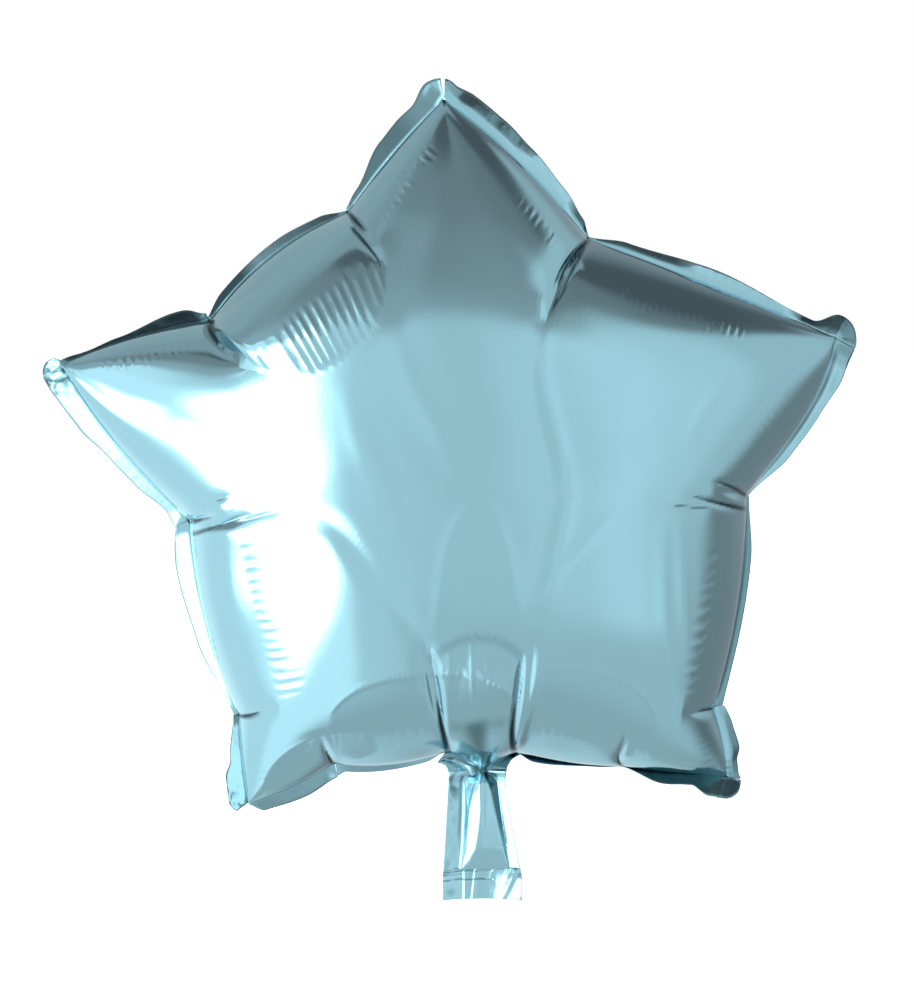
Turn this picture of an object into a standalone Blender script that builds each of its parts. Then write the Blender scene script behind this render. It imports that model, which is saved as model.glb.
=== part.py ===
"""A five-pointed star foil balloon, blown up.

Two pillow-shaped film panels meet at a flat seam. Outside the seam lies the heat-sealed margin, tucked in at
the folds where the film gathers, and below hangs the filling neck with its two margins and its end seal.
Lengths here are in millimetres and are made metres when a mesh is built. +Z is up through the top point, the
front faces -Y, and the origin is the star's centre, midway between the two panels.
"""

import math

import bmesh
import bpy
import numpy as np
from mathutils import Vector

# Driving dimensions, in millimetres
MM = 0.001
BELLY = 80.0  # from the seam's plane to the middle of a panel
FILM = 1.5  # wall of a panel: real film is far thinner
SEAL = 1.0  # thickness of a heat-sealed margin
GAP = 0.3  # between pieces that touch on the real balloon
TUCK = 1.2  # how far a margin reaches in between the panels' rims
RIM = SEAL / 2 + GAP  # from the seam's plane to a panel's rim

# The seam's corners, as x and z from the star's centre. Tips first, then the folds between the arms, the
# pinches where the film is drawn in part way along an edge, and the gather at the top of the neck.
TIPS = {
    "top": (0.0, 201.0),
    "right": (204.0, 63.0),
    "lower_right": (135.0, -171.3),
    "lower_left": (-124.3, -169.6),
    "left": (-210.0, 71.4),
}
CORNERS = {
    **TIPS,
    "fold_upper_right": (73.1, 123.3),
    "fold_right": (151.8, -19.1),
    "pinch_right_side": (129.1, -132.6),
    "pinch_right_base": (78.2, -161.9),
    "fold_neck_right": (19.5, -149.8),
    "gather": (2.5, -160.0),
    "fold_neck_left": (-16.0, -147.4),
    "pinch_left_base": (-77.0, -150.8),
    "pinch_left_side": (-126.7, -121.3),
    "fold_left": (-147.2, -15.1),
    "pinch_left_arm": (-130.2, 90.6),
    "fold_upper_left": (-54.1, 144.2),
}

# The seam's runs, clockwise from the top: the margin's name, where the run starts and ends, how far the seam
# bows out and how much more near the start than near the end, and the margin's width at shares of the run.
# A width at a tip is also the radius that its ear starts with.
RUNS = (
    ("margin_top_right", "top", "fold_upper_right", (4.5, 0.0),
     ((0, 10), (0.1, 11.5), (0.3, 11), (0.5, 9.4), (0.75, 7.2), (0.92, 4.6), (1, 1.2))),
    ("margin_right_upper", "fold_upper_right", "right", (1.5, 0.0),
     ((0, 1), (0.15, 4.8), (0.5, 8.2), (0.9, 3.4), (1, 12))),
    ("margin_right_lower", "right", "fold_right", (6.5, 3.0),
     ((0, 12.5), (0.15, 10.5), (0.4, 7.4), (0.7, 6.6), (1, 1.5))),
    ("margin_right_side", "fold_right", "pinch_right_side", (4.5, 0.0),
     ((0, 2), (0.3, 5), (0.8, 4.6), (1, 5))),
    ("margin_right_foot", "pinch_right_side", "lower_right", (1.5, 0.0),
     ((0, 6), (0.3, 7.4), (0.65, 8.6), (0.82, 6.4), (1, 6.5))),
    ("margin_right_toe", "lower_right", "pinch_right_base", (0.5, 0.0),
     ((0, 11), (0.18, 10), (0.34, 5.5), (0.6, 6.2), (1, 0.8))),
    ("margin_right_base", "pinch_right_base", "fold_neck_right", (2.0, 0.0),
     ((0, 0.6), (0.25, 1.2), (0.8, 3.2), (1, 0.4))),
    ("margin_left_base", "fold_neck_left", "pinch_left_base", (4.0, 0.0),
     ((0, 0.4), (0.2, 3), (0.9, 4.2), (1, 7))),
    ("margin_left_toe", "pinch_left_base", "lower_left", (2.0, 0.0),
     ((0, 7.5), (0.4, 9), (0.88, 7.4), (1, 1))),
    ("margin_left_foot", "lower_left", "pinch_left_side", (1.0, 0.0),
     ((0, 10), (0.3, 9.6), (0.5, 6), (1, 3))),
    ("margin_left_side", "pinch_left_side", "fold_left", (5.0, 0.0),
     ((0, 2.5), (0.1, 2.8), (0.4, 7), (0.8, 9.6), (1, 8))),
    ("margin_left_lower", "fold_left", "left", (4.5, -1.0),
     ((0, 8), (0.12, 5), (0.3, 7), (0.5, 7.5), (0.7, 10.4), (1, 12))),
    ("margin_left_upper", "left", "pinch_left_arm", (3.0, 0.0),
     ((0, 2.5), (0.2, 1.2), (0.4, 2.2), (0.85, 7.2), (1, 4))),
    ("margin_upper_left", "pinch_left_arm", "fold_upper_left", (7.0, 0.0),
     ((0, 2), (0.15, 4), (0.6, 4.6), (0.85, 3.6), (1, 1))),
    ("margin_top_left", "fold_upper_left", "top", (2.0, 0.0),
     ((0, 1.5), (0.15, 2.8), (0.5, 8.4), (0.7, 9.2), (0.82, 8.8), (1, 12.4))),
)

# Ears: the shares of a tip's turn that the margin before it and the margin after it go round
EARS = {
    "top": (0.45, 0.42),
    "right": (0.93, 0.0),
    "lower_right": (0.15, 0.7),
    "lower_left": (0.0, 0.28),
    "left": (0.85, 0.0),
}

# Margins
MARGIN_STEP = 7.0  # length of one step along a margin
MARGIN_STEPS = 6  # and the fewest steps

# Panels
EDGE_STEPS = 10  # samples along each side of an arm
MOUTH_STEPS = 2  # samples along each side of the neck's mouth
ROWS = 8  # from the seam to an arm's ridge
ROW_CROWDING = 1.7  # rows lie closer together near the seam, where the film is steep
RIDGE_START = 0.62  # how fast a ridge leaves its tip

# Creases run inwards from where the film gathers: corner, where the crease ends, how deep and half how wide
CREASES = (
    ("fold_upper_right", (47.0, 76.0), 0.30, 9.0),
    ("fold_right", (108.0, -15.0), 0.28, 8.0),
    ("pinch_right_side", (109.0, -127.0), 0.25, 8.0),
    ("pinch_right_base", (80.0, -138.0), 0.28, 8.0),
    ("fold_neck_right", (21.0, -96.0), 0.34, 8.0),
    ("fold_neck_left", (-20.0, -94.0), 0.34, 8.0),
    ("pinch_left_base", (-82.0, -116.0), 0.28, 8.0),
    ("pinch_left_side", (-106.0, -114.0), 0.25, 8.0),
    ("fold_left", (-96.0, -10.0), 0.28, 8.0),
    ("pinch_left_arm", (-117.0, 68.0), 0.28, 8.0),
    ("fold_upper_left", (-34.0, 112.0), 0.28, 8.0),
)
CREASE_FADE = 1.5

# The neck hangs from the gather, 3 degrees off the star's own axis
NECK_LEAN = math.radians(-3.1)
NECK_CLEAR = 0.6  # the neck's margins start this far below the gather, so that they turn clear of the webs
NECK_TOP = 3.0  # the tube starts this far below it, where the film is pinched flat
NECK_LENGTH = 54.0  # from the gather to the end seal
END_SEAL = 16.0  # the end seal's height
NECK_BELLY = 8.6  # from the seam's plane to the front of the tube
NECK_WALL = 1.2
TUBE_LEFT = (10.0, 12.0)  # from the neck's middle line to the tube's edge, at its top and its end
TUBE_RIGHT = (8.5, 14.5)
NECK_EDGE_LEFT = (18.0, 21.6)  # the same to the margins' outer edges
NECK_EDGE_RIGHT = (14.0, 21.4)
NECK_STEPS = 9
TUBE_STEPS = 8

# Finishes: colour, roughness and metallic value
FOIL_BLUE = ((0.30, 0.55, 0.65), 0.16, 1.0)
MARGIN_BLUE = ((0.34, 0.58, 0.67), 0.24, 1.0)


def finish_of(name, colour, roughness, metallic):
    material = bpy.data.materials.new(name)
    material.use_nodes = True
    shader = material.node_tree.nodes["Principled BSDF"]
    shader.inputs["Base Color"].default_value = (*colour, 1.0)
    shader.inputs["Roughness"].default_value = roughness
    shader.inputs["Metallic"].default_value = metallic
    return material


def add_piece(name, points, faces, finish):
    """One closed solid from points in millimetres: points that coincide become one."""
    index_of = {}
    shared = []
    for point in points:
        key = tuple(round(float(value), 5) for value in point)
        shared.append(index_of.setdefault(key, len(index_of)))
    kept = []
    for face in faces:
        corners = []
        for corner in face:
            if shared[corner] not in corners:
                corners.append(shared[corner])
        if len(corners) > 2:
            kept.append(corners)
    mesh = bpy.data.meshes.new(name)
    mesh.from_pydata([Vector(key) * MM for key in index_of], [], kept)
    bm = bmesh.new()
    bm.from_mesh(mesh)
    bmesh.ops.recalc_face_normals(bm, faces=bm.faces)
    bm.to_mesh(mesh)
    bm.free()
    mesh.shade_smooth()
    mesh.set_sharp_from_angle(angle=math.radians(40))
    mesh.materials.append(finish_of(f"{name}_finish", *finish))
    piece = bpy.data.objects.new(name, mesh)
    bpy.context.collection.objects.link(piece)
    return piece


def ramp(table, share):
    """A value read from (share, value) pairs, eased between them."""
    for (start, low), (end, high) in zip(table, table[1:]):
        if share <= end:
            along = (share - start) / (end - start)
            return low + (high - low) * along * along * (3 - 2 * along)
    return table[-1][1]


def mix(pair, share):
    return pair[0] + (pair[1] - pair[0]) * share


def outward(start, end):
    """The unit normal that points out of the star from a run that goes clockwise."""
    along = end - start
    return np.array((-along[1], along[0])) / np.linalg.norm(along)


def run_point(start, end, bows, share):
    bow, lean = bows
    out = 4 * share * (1 - share) * (bow + lean * (1 - 2 * share))
    return start + (end - start) * share + outward(start, end) * out


def corner(name):
    return np.array(CORNERS[name])


# Panels


def seam_path():
    """Seam samples, clockwise, each with the point of the arm's ridge that its column runs to."""
    path = []
    for tip in TIPS:
        for away in (False, True):
            path += side_samples(side_runs(tip, away), tip, away)
        if tip == "lower_right":
            path += mouth_samples()
    return path


def side_runs(tip, away):
    """The runs between a tip and the fold on one side of it, in clockwise order."""
    runs = []
    at = tip
    while at == tip or at.startswith("pinch"):
        for _, start, end, bows, _ in RUNS:
            if (start if away else end) == at:
                runs.append((start, end, bows))
                at = end if away else start
                break
    return runs if away else runs[::-1]


def side_samples(runs, tip, away):
    """Samples along one side of an arm, without its last point, which the next side starts with."""
    lengths = [np.linalg.norm(corner(end) - corner(start)) for start, end, _ in runs]
    first = EDGE_STEPS if len(runs) == 1 else round(EDGE_STEPS * lengths[0] / sum(lengths))
    samples = []
    for (start, end, bows), steps in zip(runs, (first, EDGE_STEPS - first)):
        for step in range(steps):
            share = len(samples) / EDGE_STEPS
            samples.append((run_point(corner(start), corner(end), bows, step / steps),
                            ridge_point(tip, share if away else 1 - share)))
    return samples


def mouth_samples():
    """Samples along the neck's mouth: two short runs that meet at the gather. All run to the centre."""
    samples = []
    for start, end in (("fold_neck_right", "gather"), ("gather", "fold_neck_left")):
        for step in range(MOUTH_STEPS):
            samples.append((run_point(corner(start), corner(end), (0, 0), step / MOUTH_STEPS), np.zeros(2)))
    return samples


def ridge_point(tip, share):
    return corner(tip) * (1 - RIDGE_START * share - (1 - RIDGE_START) * share**3)


def panel_plan():
    """The panel's plan: points, faces and the rim's points in order."""
    path = seam_path()
    points = []
    index_of = {}
    grid = []
    for edge, ridge in path:
        column = []
        for row in range(ROWS + 1):
            point = edge + (ridge - edge) * (row / ROWS) ** ROW_CROWDING
            key = (round(float(point[0]), 4), round(float(point[1]), 4))
            if key not in index_of:
                index_of[key] = len(points)
                points.append(point)
            column.append(index_of[key])
        grid.append(column)
    faces = []
    for left, right in zip(grid, grid[1:] + grid[:1]):
        for row in range(ROWS):
            face = []
            for index in (left[row], right[row], right[row + 1], left[row + 1]):
                if index not in face:
                    face.append(index)
            if len(face) > 2:
                faces.append(face)
    return np.array(points), faces, [column[0] for column in grid]


def pressed_height(points, faces, rim):
    """How far pressure lifts film that is held at the rim: a membrane's height, rounded like a pillow's."""
    count = len(points)
    stiffness = np.zeros((count, count))
    load = np.zeros(count)
    for face in faces:
        for second, third in zip(face[1:], face[2:]):
            triangle = [face[0], second, third]
            a, b, c = points[triangle]
            area = abs((b[0] - a[0]) * (c[1] - a[1]) - (b[1] - a[1]) * (c[0] - a[0])) / 2
            edges = np.array((c - b, a - c, b - a))
            stiffness[np.ix_(triangle, triangle)] += edges @ edges.T / (4 * area)
            load[triangle] += area / 3
    free = np.setdiff1d(np.arange(count), rim)
    lift = np.zeros(count)
    lift[free] = np.linalg.solve(stiffness[np.ix_(free, free)], load[free])
    return BELLY * np.sqrt(np.maximum(lift, 0) / lift.max())


def creased(points, height):
    for name, end, depth, half_width in CREASES:
        start = corner(name)
        along = np.array(end) - start
        length = np.linalg.norm(along)
        along = along / length
        offset = points - start
        share = offset @ along / length
        across = offset[:, 0] * along[1] - offset[:, 1] * along[0]
        fade = np.where((share > -0.2) & (share < 1), (1 - np.clip(share, 0, 1)) ** CREASE_FADE, 0)
        height = height * (1 - depth * np.exp(-((across / half_width) ** 2)) * fade)
    return height


def build_panel(name, side):
    """A bowl of film whose rim lies flat beside the margins. side is -1 for the front and 1 for the back."""
    plan, faces, rim = panel_plan()
    height = creased(plan, pressed_height(plan, faces, rim))
    reach = abs(np.array([corner(fold) for fold in ("fold_left", "fold_right")])[:, 0]).mean()
    shrink = 1 - FILM / reach
    deep = 1 - FILM / BELLY
    outer = [(x, side * (RIM + lift), z) for (x, z), lift in zip(plan, height)]
    inner = [(x * shrink, side * (RIM + lift * deep), z * shrink) for (x, z), lift in zip(plan, height)]
    count = len(plan)
    shell = [face for face in faces] + [[index + count for index in reversed(face)] for face in faces]
    for first, second in zip(rim, rim[1:] + rim[:1]):
        shell.append([first, first + count, second + count, second])
    return add_piece(name, outer + inner, shell, FOIL_BLUE)


# Margins


def plate(name, inner, outer, finish):
    """A flat strip in the seam's plane between two lists of points of one length."""
    half = SEAL / 2
    points = []
    for near, far in zip(inner, outer):
        points += [(near[0], -half, near[1]), (far[0], -half, far[1])]
        points += [(far[0], half, far[1]), (near[0], half, near[1])]
    faces = [[0, 1, 2, 3]]
    for step in range(len(inner) - 1):
        base = 4 * step
        for first, second in ((0, 1), (1, 2), (2, 3), (3, 0)):
            faces.append([base + first, base + second, base + 4 + second, base + 4 + first])
    last = 4 * (len(inner) - 1)
    faces.append([last + 3, last + 2, last + 1, last])
    return add_piece(name, points, faces, finish)


def ear(tip, from_normal, to_normal, share, radii):
    """Points round a tip, from one run's normal part of the way to the other's, as the width goes over."""
    start = math.atan2(from_normal[1], from_normal[0])
    turn = (math.atan2(to_normal[1], to_normal[0]) - start + math.pi) % (2 * math.pi) - math.pi
    steps = round(abs(turn) * share / math.radians(14))
    points = []
    for step in range(1, steps + 1):
        part = share * step / steps
        angle = start + turn * part
        points.append(tip + mix(radii, part) * np.array((math.cos(angle), math.sin(angle))))
    return points


def runs_at(name):
    """The run that ends at a corner and the one that starts there."""
    before = next((run for run in RUNS if run[2] == name), None)
    after = next((run for run in RUNS if run[1] == name), None)
    return before, after


def mitred(point, name, along, sign):
    """Keep a margin's outer edge on its own side of a fold: sign is 1 where the run starts there, else -1."""
    before, after = runs_at(name)
    if name in TIPS or before is None or after is None:
        return point
    across = np.zeros(2)
    for _, start, end, _, _ in (before, after):
        across += (corner(end) - corner(start)) / np.linalg.norm(corner(end) - corner(start))
    across = across / np.linalg.norm(across)
    room = sign * ((point - corner(name)) @ across) - GAP / 2
    return point - along * sign * min(0.0, room) / (along @ across)


def build_margin(name, start_name, end_name, bows, widths):
    start, end = corner(start_name), corner(end_name)
    length = np.linalg.norm(end - start)
    along = (end - start) / length
    normal = outward(start, end)
    steps = max(MARGIN_STEPS, round(length / MARGIN_STEP))
    inner, outer = [], []
    for step in range(steps + 1):
        share = (GAP + (length - 2 * GAP) * step / steps) / length
        from_end = min(share, 1 - share) * length
        point = run_point(start, end, bows, share)
        inner.append(point - normal * TUCK * min(1.0, from_end / (4 * TUCK)))
        far = mitred(point + normal * ramp(widths, share), start_name, along, 1)
        outer.append(mitred(far, end_name, along, -1))
    if start_name in TIPS:
        before, after = runs_at(start_name)
        radii = (widths[0][1], before[4][-1][1])
        normals = [outward(corner(run[1]), corner(run[2])) for run in (after, before)]
        round_tip = ear(start, *normals, EARS[start_name][1], radii)[::-1]
        inner = [inner[0]] * len(round_tip) + inner
        outer = round_tip + outer
    if end_name in TIPS:
        before, after = runs_at(end_name)
        radii = (widths[-1][1], after[4][0][1])
        normals = [outward(corner(run[1]), corner(run[2])) for run in (before, after)]
        round_tip = ear(end, *normals, EARS[end_name][0], radii)
        inner += [inner[-1]] * len(round_tip)
        outer += round_tip
    plate(name, inner, outer, MARGIN_BLUE)


def build_gather_webs():
    """The two flat corners of film between the mouth and the neck's margins."""
    gather = corner("gather")
    for side, sign, edge in (("right", 1, NECK_EDGE_RIGHT), ("left", -1, NECK_EDGE_LEFT)):
        fold = f"fold_neck_{side}"
        outer_low = neck_point(-GAP, sign * edge[0])
        top = corner(fold) + (gather - corner(fold)) * 0.08
        low = neck_point(-GAP, sign * 1.5)
        inner = [top, top + (low - top) * 0.5, low]
        outer_top = top + (outer_low - top) * 0.12 + np.array((sign * 0.4, 0))
        outer = [outer_top, top + (outer_low - top) * 0.6, outer_low]
        plate(f"gather_web_{side}", inner, outer, MARGIN_BLUE)


# Neck


def neck_point(down, across):
    """A point of the seam's plane by how far below the gather it is and how far to the right."""
    lean_x, lean_z = math.sin(NECK_LEAN), math.cos(NECK_LEAN)
    return corner("gather") + np.array((across * lean_z + down * lean_x, across * lean_x - down * lean_z))


def tube_lift(share, across):
    """How far the tube stands out: rising from the gather, flat again at the end seal."""
    rise = min(1.0, 0.1 + 1.25 * share) * min(1.0, math.sqrt(max(0.0, 1 - share) * 4))
    return NECK_BELLY * rise * math.sqrt(max(0.0, 1 - across * across))


def build_neck_half(name, side):
    """One film of the neck's tube, a trough that opens towards the seam's plane."""
    top, low = NECK_TOP, NECK_LENGTH - GAP
    outer, inner = [], []
    for row in range(NECK_STEPS + 1):
        share = row / NECK_STEPS
        down = top + (low - top) * share
        left, right = mix(TUBE_LEFT, down / NECK_LENGTH), mix(TUBE_RIGHT, down / NECK_LENGTH)
        middle, half = (right - left) / 2, (right + left) / 2
        inner_down = top + NECK_WALL + (low - top - 2 * NECK_WALL) * share
        for column in range(TUBE_STEPS + 1):
            across = -math.cos(math.pi * column / TUBE_STEPS)
            lift = tube_lift(share, across)
            x, z = neck_point(down, middle + half * across)
            outer.append((x, side * (RIM + lift), z))
            x, z = neck_point(inner_down, middle + (half - NECK_WALL) * across)
            inner.append((x, side * (RIM + max(0.0, lift - NECK_WALL)), z))
    wide = TUBE_STEPS + 1
    count = len(outer)
    faces = []
    for row in range(NECK_STEPS):
        for column in range(TUBE_STEPS):
            first = row * wide + column
            face = [first, first + 1, first + wide + 1, first + wide]
            faces.append(face)
            faces.append([index + count for index in reversed(face)])
    rim = list(range(wide)) + [row * wide + wide - 1 for row in range(1, NECK_STEPS + 1)]
    rim += [NECK_STEPS * wide + column for column in range(wide - 2, -1, -1)]
    rim += [row * wide for row in range(NECK_STEPS - 1, 0, -1)]
    for first, second in zip(rim, rim[1:] + rim[:1]):
        faces.append([first, first + count, second + count, second])
    return add_piece(name, outer + inner, faces, FOIL_BLUE)


def build_neck_margins():
    sides = (("left", -1, TUBE_LEFT, NECK_EDGE_LEFT), ("right", 1, TUBE_RIGHT, NECK_EDGE_RIGHT))
    for side, sign, tube, edge in sides:
        inner, outer = [], []
        for step in range(NECK_STEPS + 1):
            share = step / NECK_STEPS
            down = NECK_CLEAR + (NECK_LENGTH - GAP - NECK_CLEAR) * share
            inner.append(neck_point(down, sign * (mix(tube, down / NECK_LENGTH) - TUCK)))
            outer.append(neck_point(down, sign * mix(edge, down / NECK_LENGTH)))
        plate(f"neck_margin_{side}", inner, outer, MARGIN_BLUE)


def build_end_seal():
    left, right = -NECK_EDGE_LEFT[1], NECK_EDGE_RIGHT[1]
    inner, outer = [], []
    for share in (0.0, 0.5, 1.0):
        across = left + (right - left) * share
        inner.append(neck_point(NECK_LENGTH, across))
        outer.append(neck_point(NECK_LENGTH + END_SEAL, across))
    plate("neck_end_seal", inner, outer, MARGIN_BLUE)


def main():
    for old in list(bpy.data.objects):
        bpy.data.objects.remove(old)
    build_panel("panel_front", -1)
    build_panel("panel_back", 1)
    for run in RUNS:
        build_margin(*run)
    build_gather_webs()
    build_neck_half("neck_front", -1)
    build_neck_half("neck_back", 1)
    build_neck_margins()
    build_end_seal()


main()
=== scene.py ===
"""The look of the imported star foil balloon: film panels, sealed margins, filling neck and studio."""

import math
from collections import namedtuple

import bmesh
import bpy
import numpy as np
from mathutils import Matrix, Vector


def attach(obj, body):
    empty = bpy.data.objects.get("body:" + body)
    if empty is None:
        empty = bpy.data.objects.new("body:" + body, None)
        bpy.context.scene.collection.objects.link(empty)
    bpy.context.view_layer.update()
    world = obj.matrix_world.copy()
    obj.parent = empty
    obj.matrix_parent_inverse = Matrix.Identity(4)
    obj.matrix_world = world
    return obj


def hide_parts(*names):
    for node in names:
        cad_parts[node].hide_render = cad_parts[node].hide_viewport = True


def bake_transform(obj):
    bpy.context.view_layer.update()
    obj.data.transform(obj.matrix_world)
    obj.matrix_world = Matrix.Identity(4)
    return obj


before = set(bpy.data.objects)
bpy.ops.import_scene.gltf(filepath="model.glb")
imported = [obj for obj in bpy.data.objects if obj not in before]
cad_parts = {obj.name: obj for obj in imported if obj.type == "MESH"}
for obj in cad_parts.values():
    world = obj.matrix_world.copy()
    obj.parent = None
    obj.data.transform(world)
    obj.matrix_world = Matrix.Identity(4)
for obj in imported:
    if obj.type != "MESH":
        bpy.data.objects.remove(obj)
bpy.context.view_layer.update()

MM = 0.001

# Outline of the seam, in millimetres from the star's centre: x to the right, z up
TIPS = {
    "top": (0, 201),
    "right": (204, 63),
    "lower_right": (135, -171.3),
    "lower_left": (-124.3, -169.6),
    "left": (-210, 71.4),
}
CORNERS = {
    **TIPS,
    "fold_upper_right": (73.1, 123.3),
    "fold_right": (151.8, -19.1),
    "pinch_right_side": (129.1, -132.6),
    "pinch_right_base": (78.2, -161.9),
    "fold_neck_right": (19.5, -149.8),
    "gather": (2.5, -160),
    "fold_neck_left": (-16, -147.4),
    "pinch_left_base": (-77, -150.8),
    "pinch_left_side": (-126.7, -121.3),
    "fold_left": (-147.2, -15.1),
    "pinch_left_arm": (-130.2, 90.6),
    "fold_upper_left": (-54.1, 144.2),
}

# The seam's runs, clockwise: the name of the run's margin, its start and end, how far it bows out and leans.
# Then the margin's widths at shares of its length; at such shares, how far forward its inner and its outer
# half lean for LEAN_WIDTH; how far it ruffles, the length of its waves and how much it crinkles; at such
# shares, how much painted shade darkens it, from 0 to 1, a painted reflection of the dim room; and the inner
# share of it that the painted shade leaves out.
RUN_FIELDS = "name start end bow lean widths lie ruffles doubled light"
Run = namedtuple("Run", RUN_FIELDS, defaults=(((0, 0), (1, 0)), 0))
RUNS = (
    Run("margin_top_right", "top", "fold_upper_right", 4.5, 0,
        ((0, 10), (0.1, 11.5), (0.3, 11), (0.5, 9.4), (0.75, 7.2), (0.92, 4.6), (1, 1.2)),
        ((0, 0, -9), (0.45, 0, -9), (0.55, 0, -2), (0.8, 0, -2), (0.9, -8, -9), (1, -8, -8)),
        (1.2, 34, 0.2), ((0, 0.25), (0.45, 0.45), (0.52, 0), (0.8, 0), (0.88, 0.8), (1, 0.75)), 1),
    Run("margin_right_upper", "fold_upper_right", "right", 1.5, 0,
        ((0, 1), (0.15, 4.8), (0.5, 8.2), (0.9, 3.4), (1, 12)),
        ((0, -1, -9), (0.3, -1, -9), (0.36, 0, -2), (0.68, 0, -1), (0.74, -8, -9), (1, -6, -6)),
        (1.2, 30, 0.25), ((0, 0.5), (0.3, 0.5), (0.36, 0), (0.68, 0), (0.74, 0.75), (0.9, 0.6), (1, 0.3)),
        0.8),
    Run("margin_right_lower", "right", "fold_right", 6.5, 3,
        ((0, 12.5), (0.15, 10.5), (0.4, 7.4), (0.7, 6.6), (1, 1.5)),
        ((0, -8, -3), (0.1, -8, 0), (0.8, -8, 0), (1, -6, -3)),
        (1.2, 30, 0.2), ((0, 0.3), (0.1, 0.3), (0.14, 0), (0.9, 0), (1, 0.5))),
    Run("margin_right_side", "fold_right", "pinch_right_side", 4.5, 0,
        ((0, 2), (0.3, 5), (0.8, 4.6), (1, 5)),
        ((0, -8, -2), (1, -8, -2)),
        (1, 30, 0.25), ((0, 0.55), (1, 0.5))),
    Run("margin_right_foot", "pinch_right_side", "lower_right", 1.5, 0,
        ((0, 6), (0.3, 7.4), (0.65, 8.6), (0.82, 6.4), (1, 6.5)),
        ((0, 0, -7), (0.6, 2, -8), (1, 0, -6)),
        (1, 20, 0.4), ((0, 0.3), (0.7, 0.6), (1, 0.6)), 1),
    Run("margin_right_toe", "lower_right", "pinch_right_base", 0.5, 0,
        ((0, 11), (0.18, 10), (0.34, 5.5), (0.6, 6.2), (1, 0.8)),
        ((0, 7, 8), (1, 7, 8)),
        (1.2, 22, 0.4), ((0, 0.75), (0.3, 0.7), (0.4, 0.85), (1, 0.88))),
    Run("margin_right_base", "pinch_right_base", "fold_neck_right", 2, 0,
        ((0, 0.6), (0.25, 1.2), (0.8, 3.2), (1, 0.4)),
        ((0, 8, 8), (1, 8, 8)),
        (0.5, 30, 0.2), ((0, 0.7), (0.8, 0.6), (1, 0.4))),
    Run("margin_left_base", "fold_neck_left", "pinch_left_base", 4, 0,
        ((0, 0.4), (0.2, 3), (0.9, 4.2), (1, 7)),
        ((0, 0, 0), (0.12, -5, -5), (1, -5, -5)),
        (0.8, 26, 0.2), ((0, 0), (0.3, 0), (0.5, 0.25), (1, 0.15))),
    Run("margin_left_toe", "pinch_left_base", "lower_left", 2, 0,
        ((0, 7.5), (0.4, 9), (0.88, 7.4), (1, 1)),
        ((0, -5, -5), (1, -5.5, -5.5)),
        (1.2, 30, 0.25), ((0, 0.2), (1, 0.3))),
    Run("margin_left_foot", "lower_left", "pinch_left_side", 1, 0,
        ((0, 10), (0.3, 9.6), (0.5, 6), (1, 3)),
        ((0, -3.2, -3.2), (1, -3, -3)),
        (1, 26, 0.3), ((0, 0.62), (1, 0.6))),
    Run("margin_left_side", "pinch_left_side", "fold_left", 5, 0,
        ((0, 2.5), (0.1, 2.8), (0.4, 7), (0.8, 9.6), (1, 8)),
        ((0, -3.4, -3.4), (1, -3.6, -3.6)),
        (0.9, 36, 0.2)),
    Run("margin_left_lower", "fold_left", "left", 4.5, -1,
        ((0, 8), (0.12, 5), (0.3, 7), (0.5, 7.5), (0.7, 10.4), (1, 12)),
        ((0, -4, -4), (1, -4, -4)),
        (0.8, 34, 0.2)),
    Run("margin_left_upper", "left", "pinch_left_arm", 3, 0,
        ((0, 2.5), (0.2, 1.2), (0.4, 2.2), (0.85, 7.2), (1, 4)),
        ((0, -9, -9), (0.45, -9.5, -9.5), (1, -9.5, -9.5)),
        (1, 24, 0.35), ((0, 0.5), (0.1, 0.8), (0.5, 0.85), (0.9, 0.8), (1, 0.7))),
    Run("margin_upper_left", "pinch_left_arm", "fold_upper_left", 7, 0,
        ((0, 2), (0.15, 4), (0.6, 4.6), (0.85, 3.6), (1, 1)),
        ((0, -8.5, -9), (0.3, -8.5, -9), (0.45, -7.5, -8), (0.9, -8, -8), (1, -8, -8)),
        (0.7, 40, 0.2), ((0, 0.85), (0.3, 0.85), (0.42, 0.25), (0.7, 0.35), (0.95, 0.65), (1, 0.6)), 0.2),
    Run("margin_top_left", "fold_upper_left", "top", 2, 0,
        ((0, 1.5), (0.15, 2.8), (0.5, 8.4), (0.7, 9.2), (0.82, 8.8), (1, 12.4)),
        ((0, -8, -9), (0.5, -8, -9), (0.7, -8, -8), (1, -7, -7)),
        (0.8, 30, 0.15), ((0, 0.35), (0.25, 0.5), (0.6, 0.5), (0.72, 0.25), (1, 0.2)), 0.25),
)
# How far a margin runs on round a tip as a rounded ear: the shares of the turn before it and after it
EARS = {
    "top": (0.45, 0.42),
    "right": (1, 0),
    "lower_right": (0.25, 0.75),
    "lower_left": (0, 0.28),
    "left": (0.9, 0.1),
}

# Film panels
BELLY = 80.0  # from the seam's plane to the middle of a panel
RIM = 0.25  # from the seam's plane to a panel's rim
SIDE_SAMPLES = {"top": 128, "right": 152, "lower_right": 160, "lower_left": 160, "left": 192}
MOUTH_SAMPLES = 40  # along each half of the neck's mouth
ROWS = 52  # from the seam to the star's ridges
ROW_CROWDING = 1.5  # towards the seam
PLAN_STEPS = 1e3  # in a millimetre: points of the plan that share a step are one
RIDGE_START = 0.62  # how fast the columns' ends leave a tip along its ridge
COARSE_COLUMNS, COARSE_ROWS = 4, 2  # the first, coarse solution takes one of each so many
COARSE_ROUNDS, FINE_ROUNDS = 500, 300
LEAST_AREA, LEAST_WEIGHT = 1e-7, 1e-9  # of a triangle and a point, which keep the solution from dividing by 0
INNER_ROWS = (0, 9, 19, 28, 40, 52)  # the rows that the plain inner side keeps
INNER_GAP = 1.2
INNER_REACH = 140.0  # over which the inner side shrinks by its gap
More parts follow.
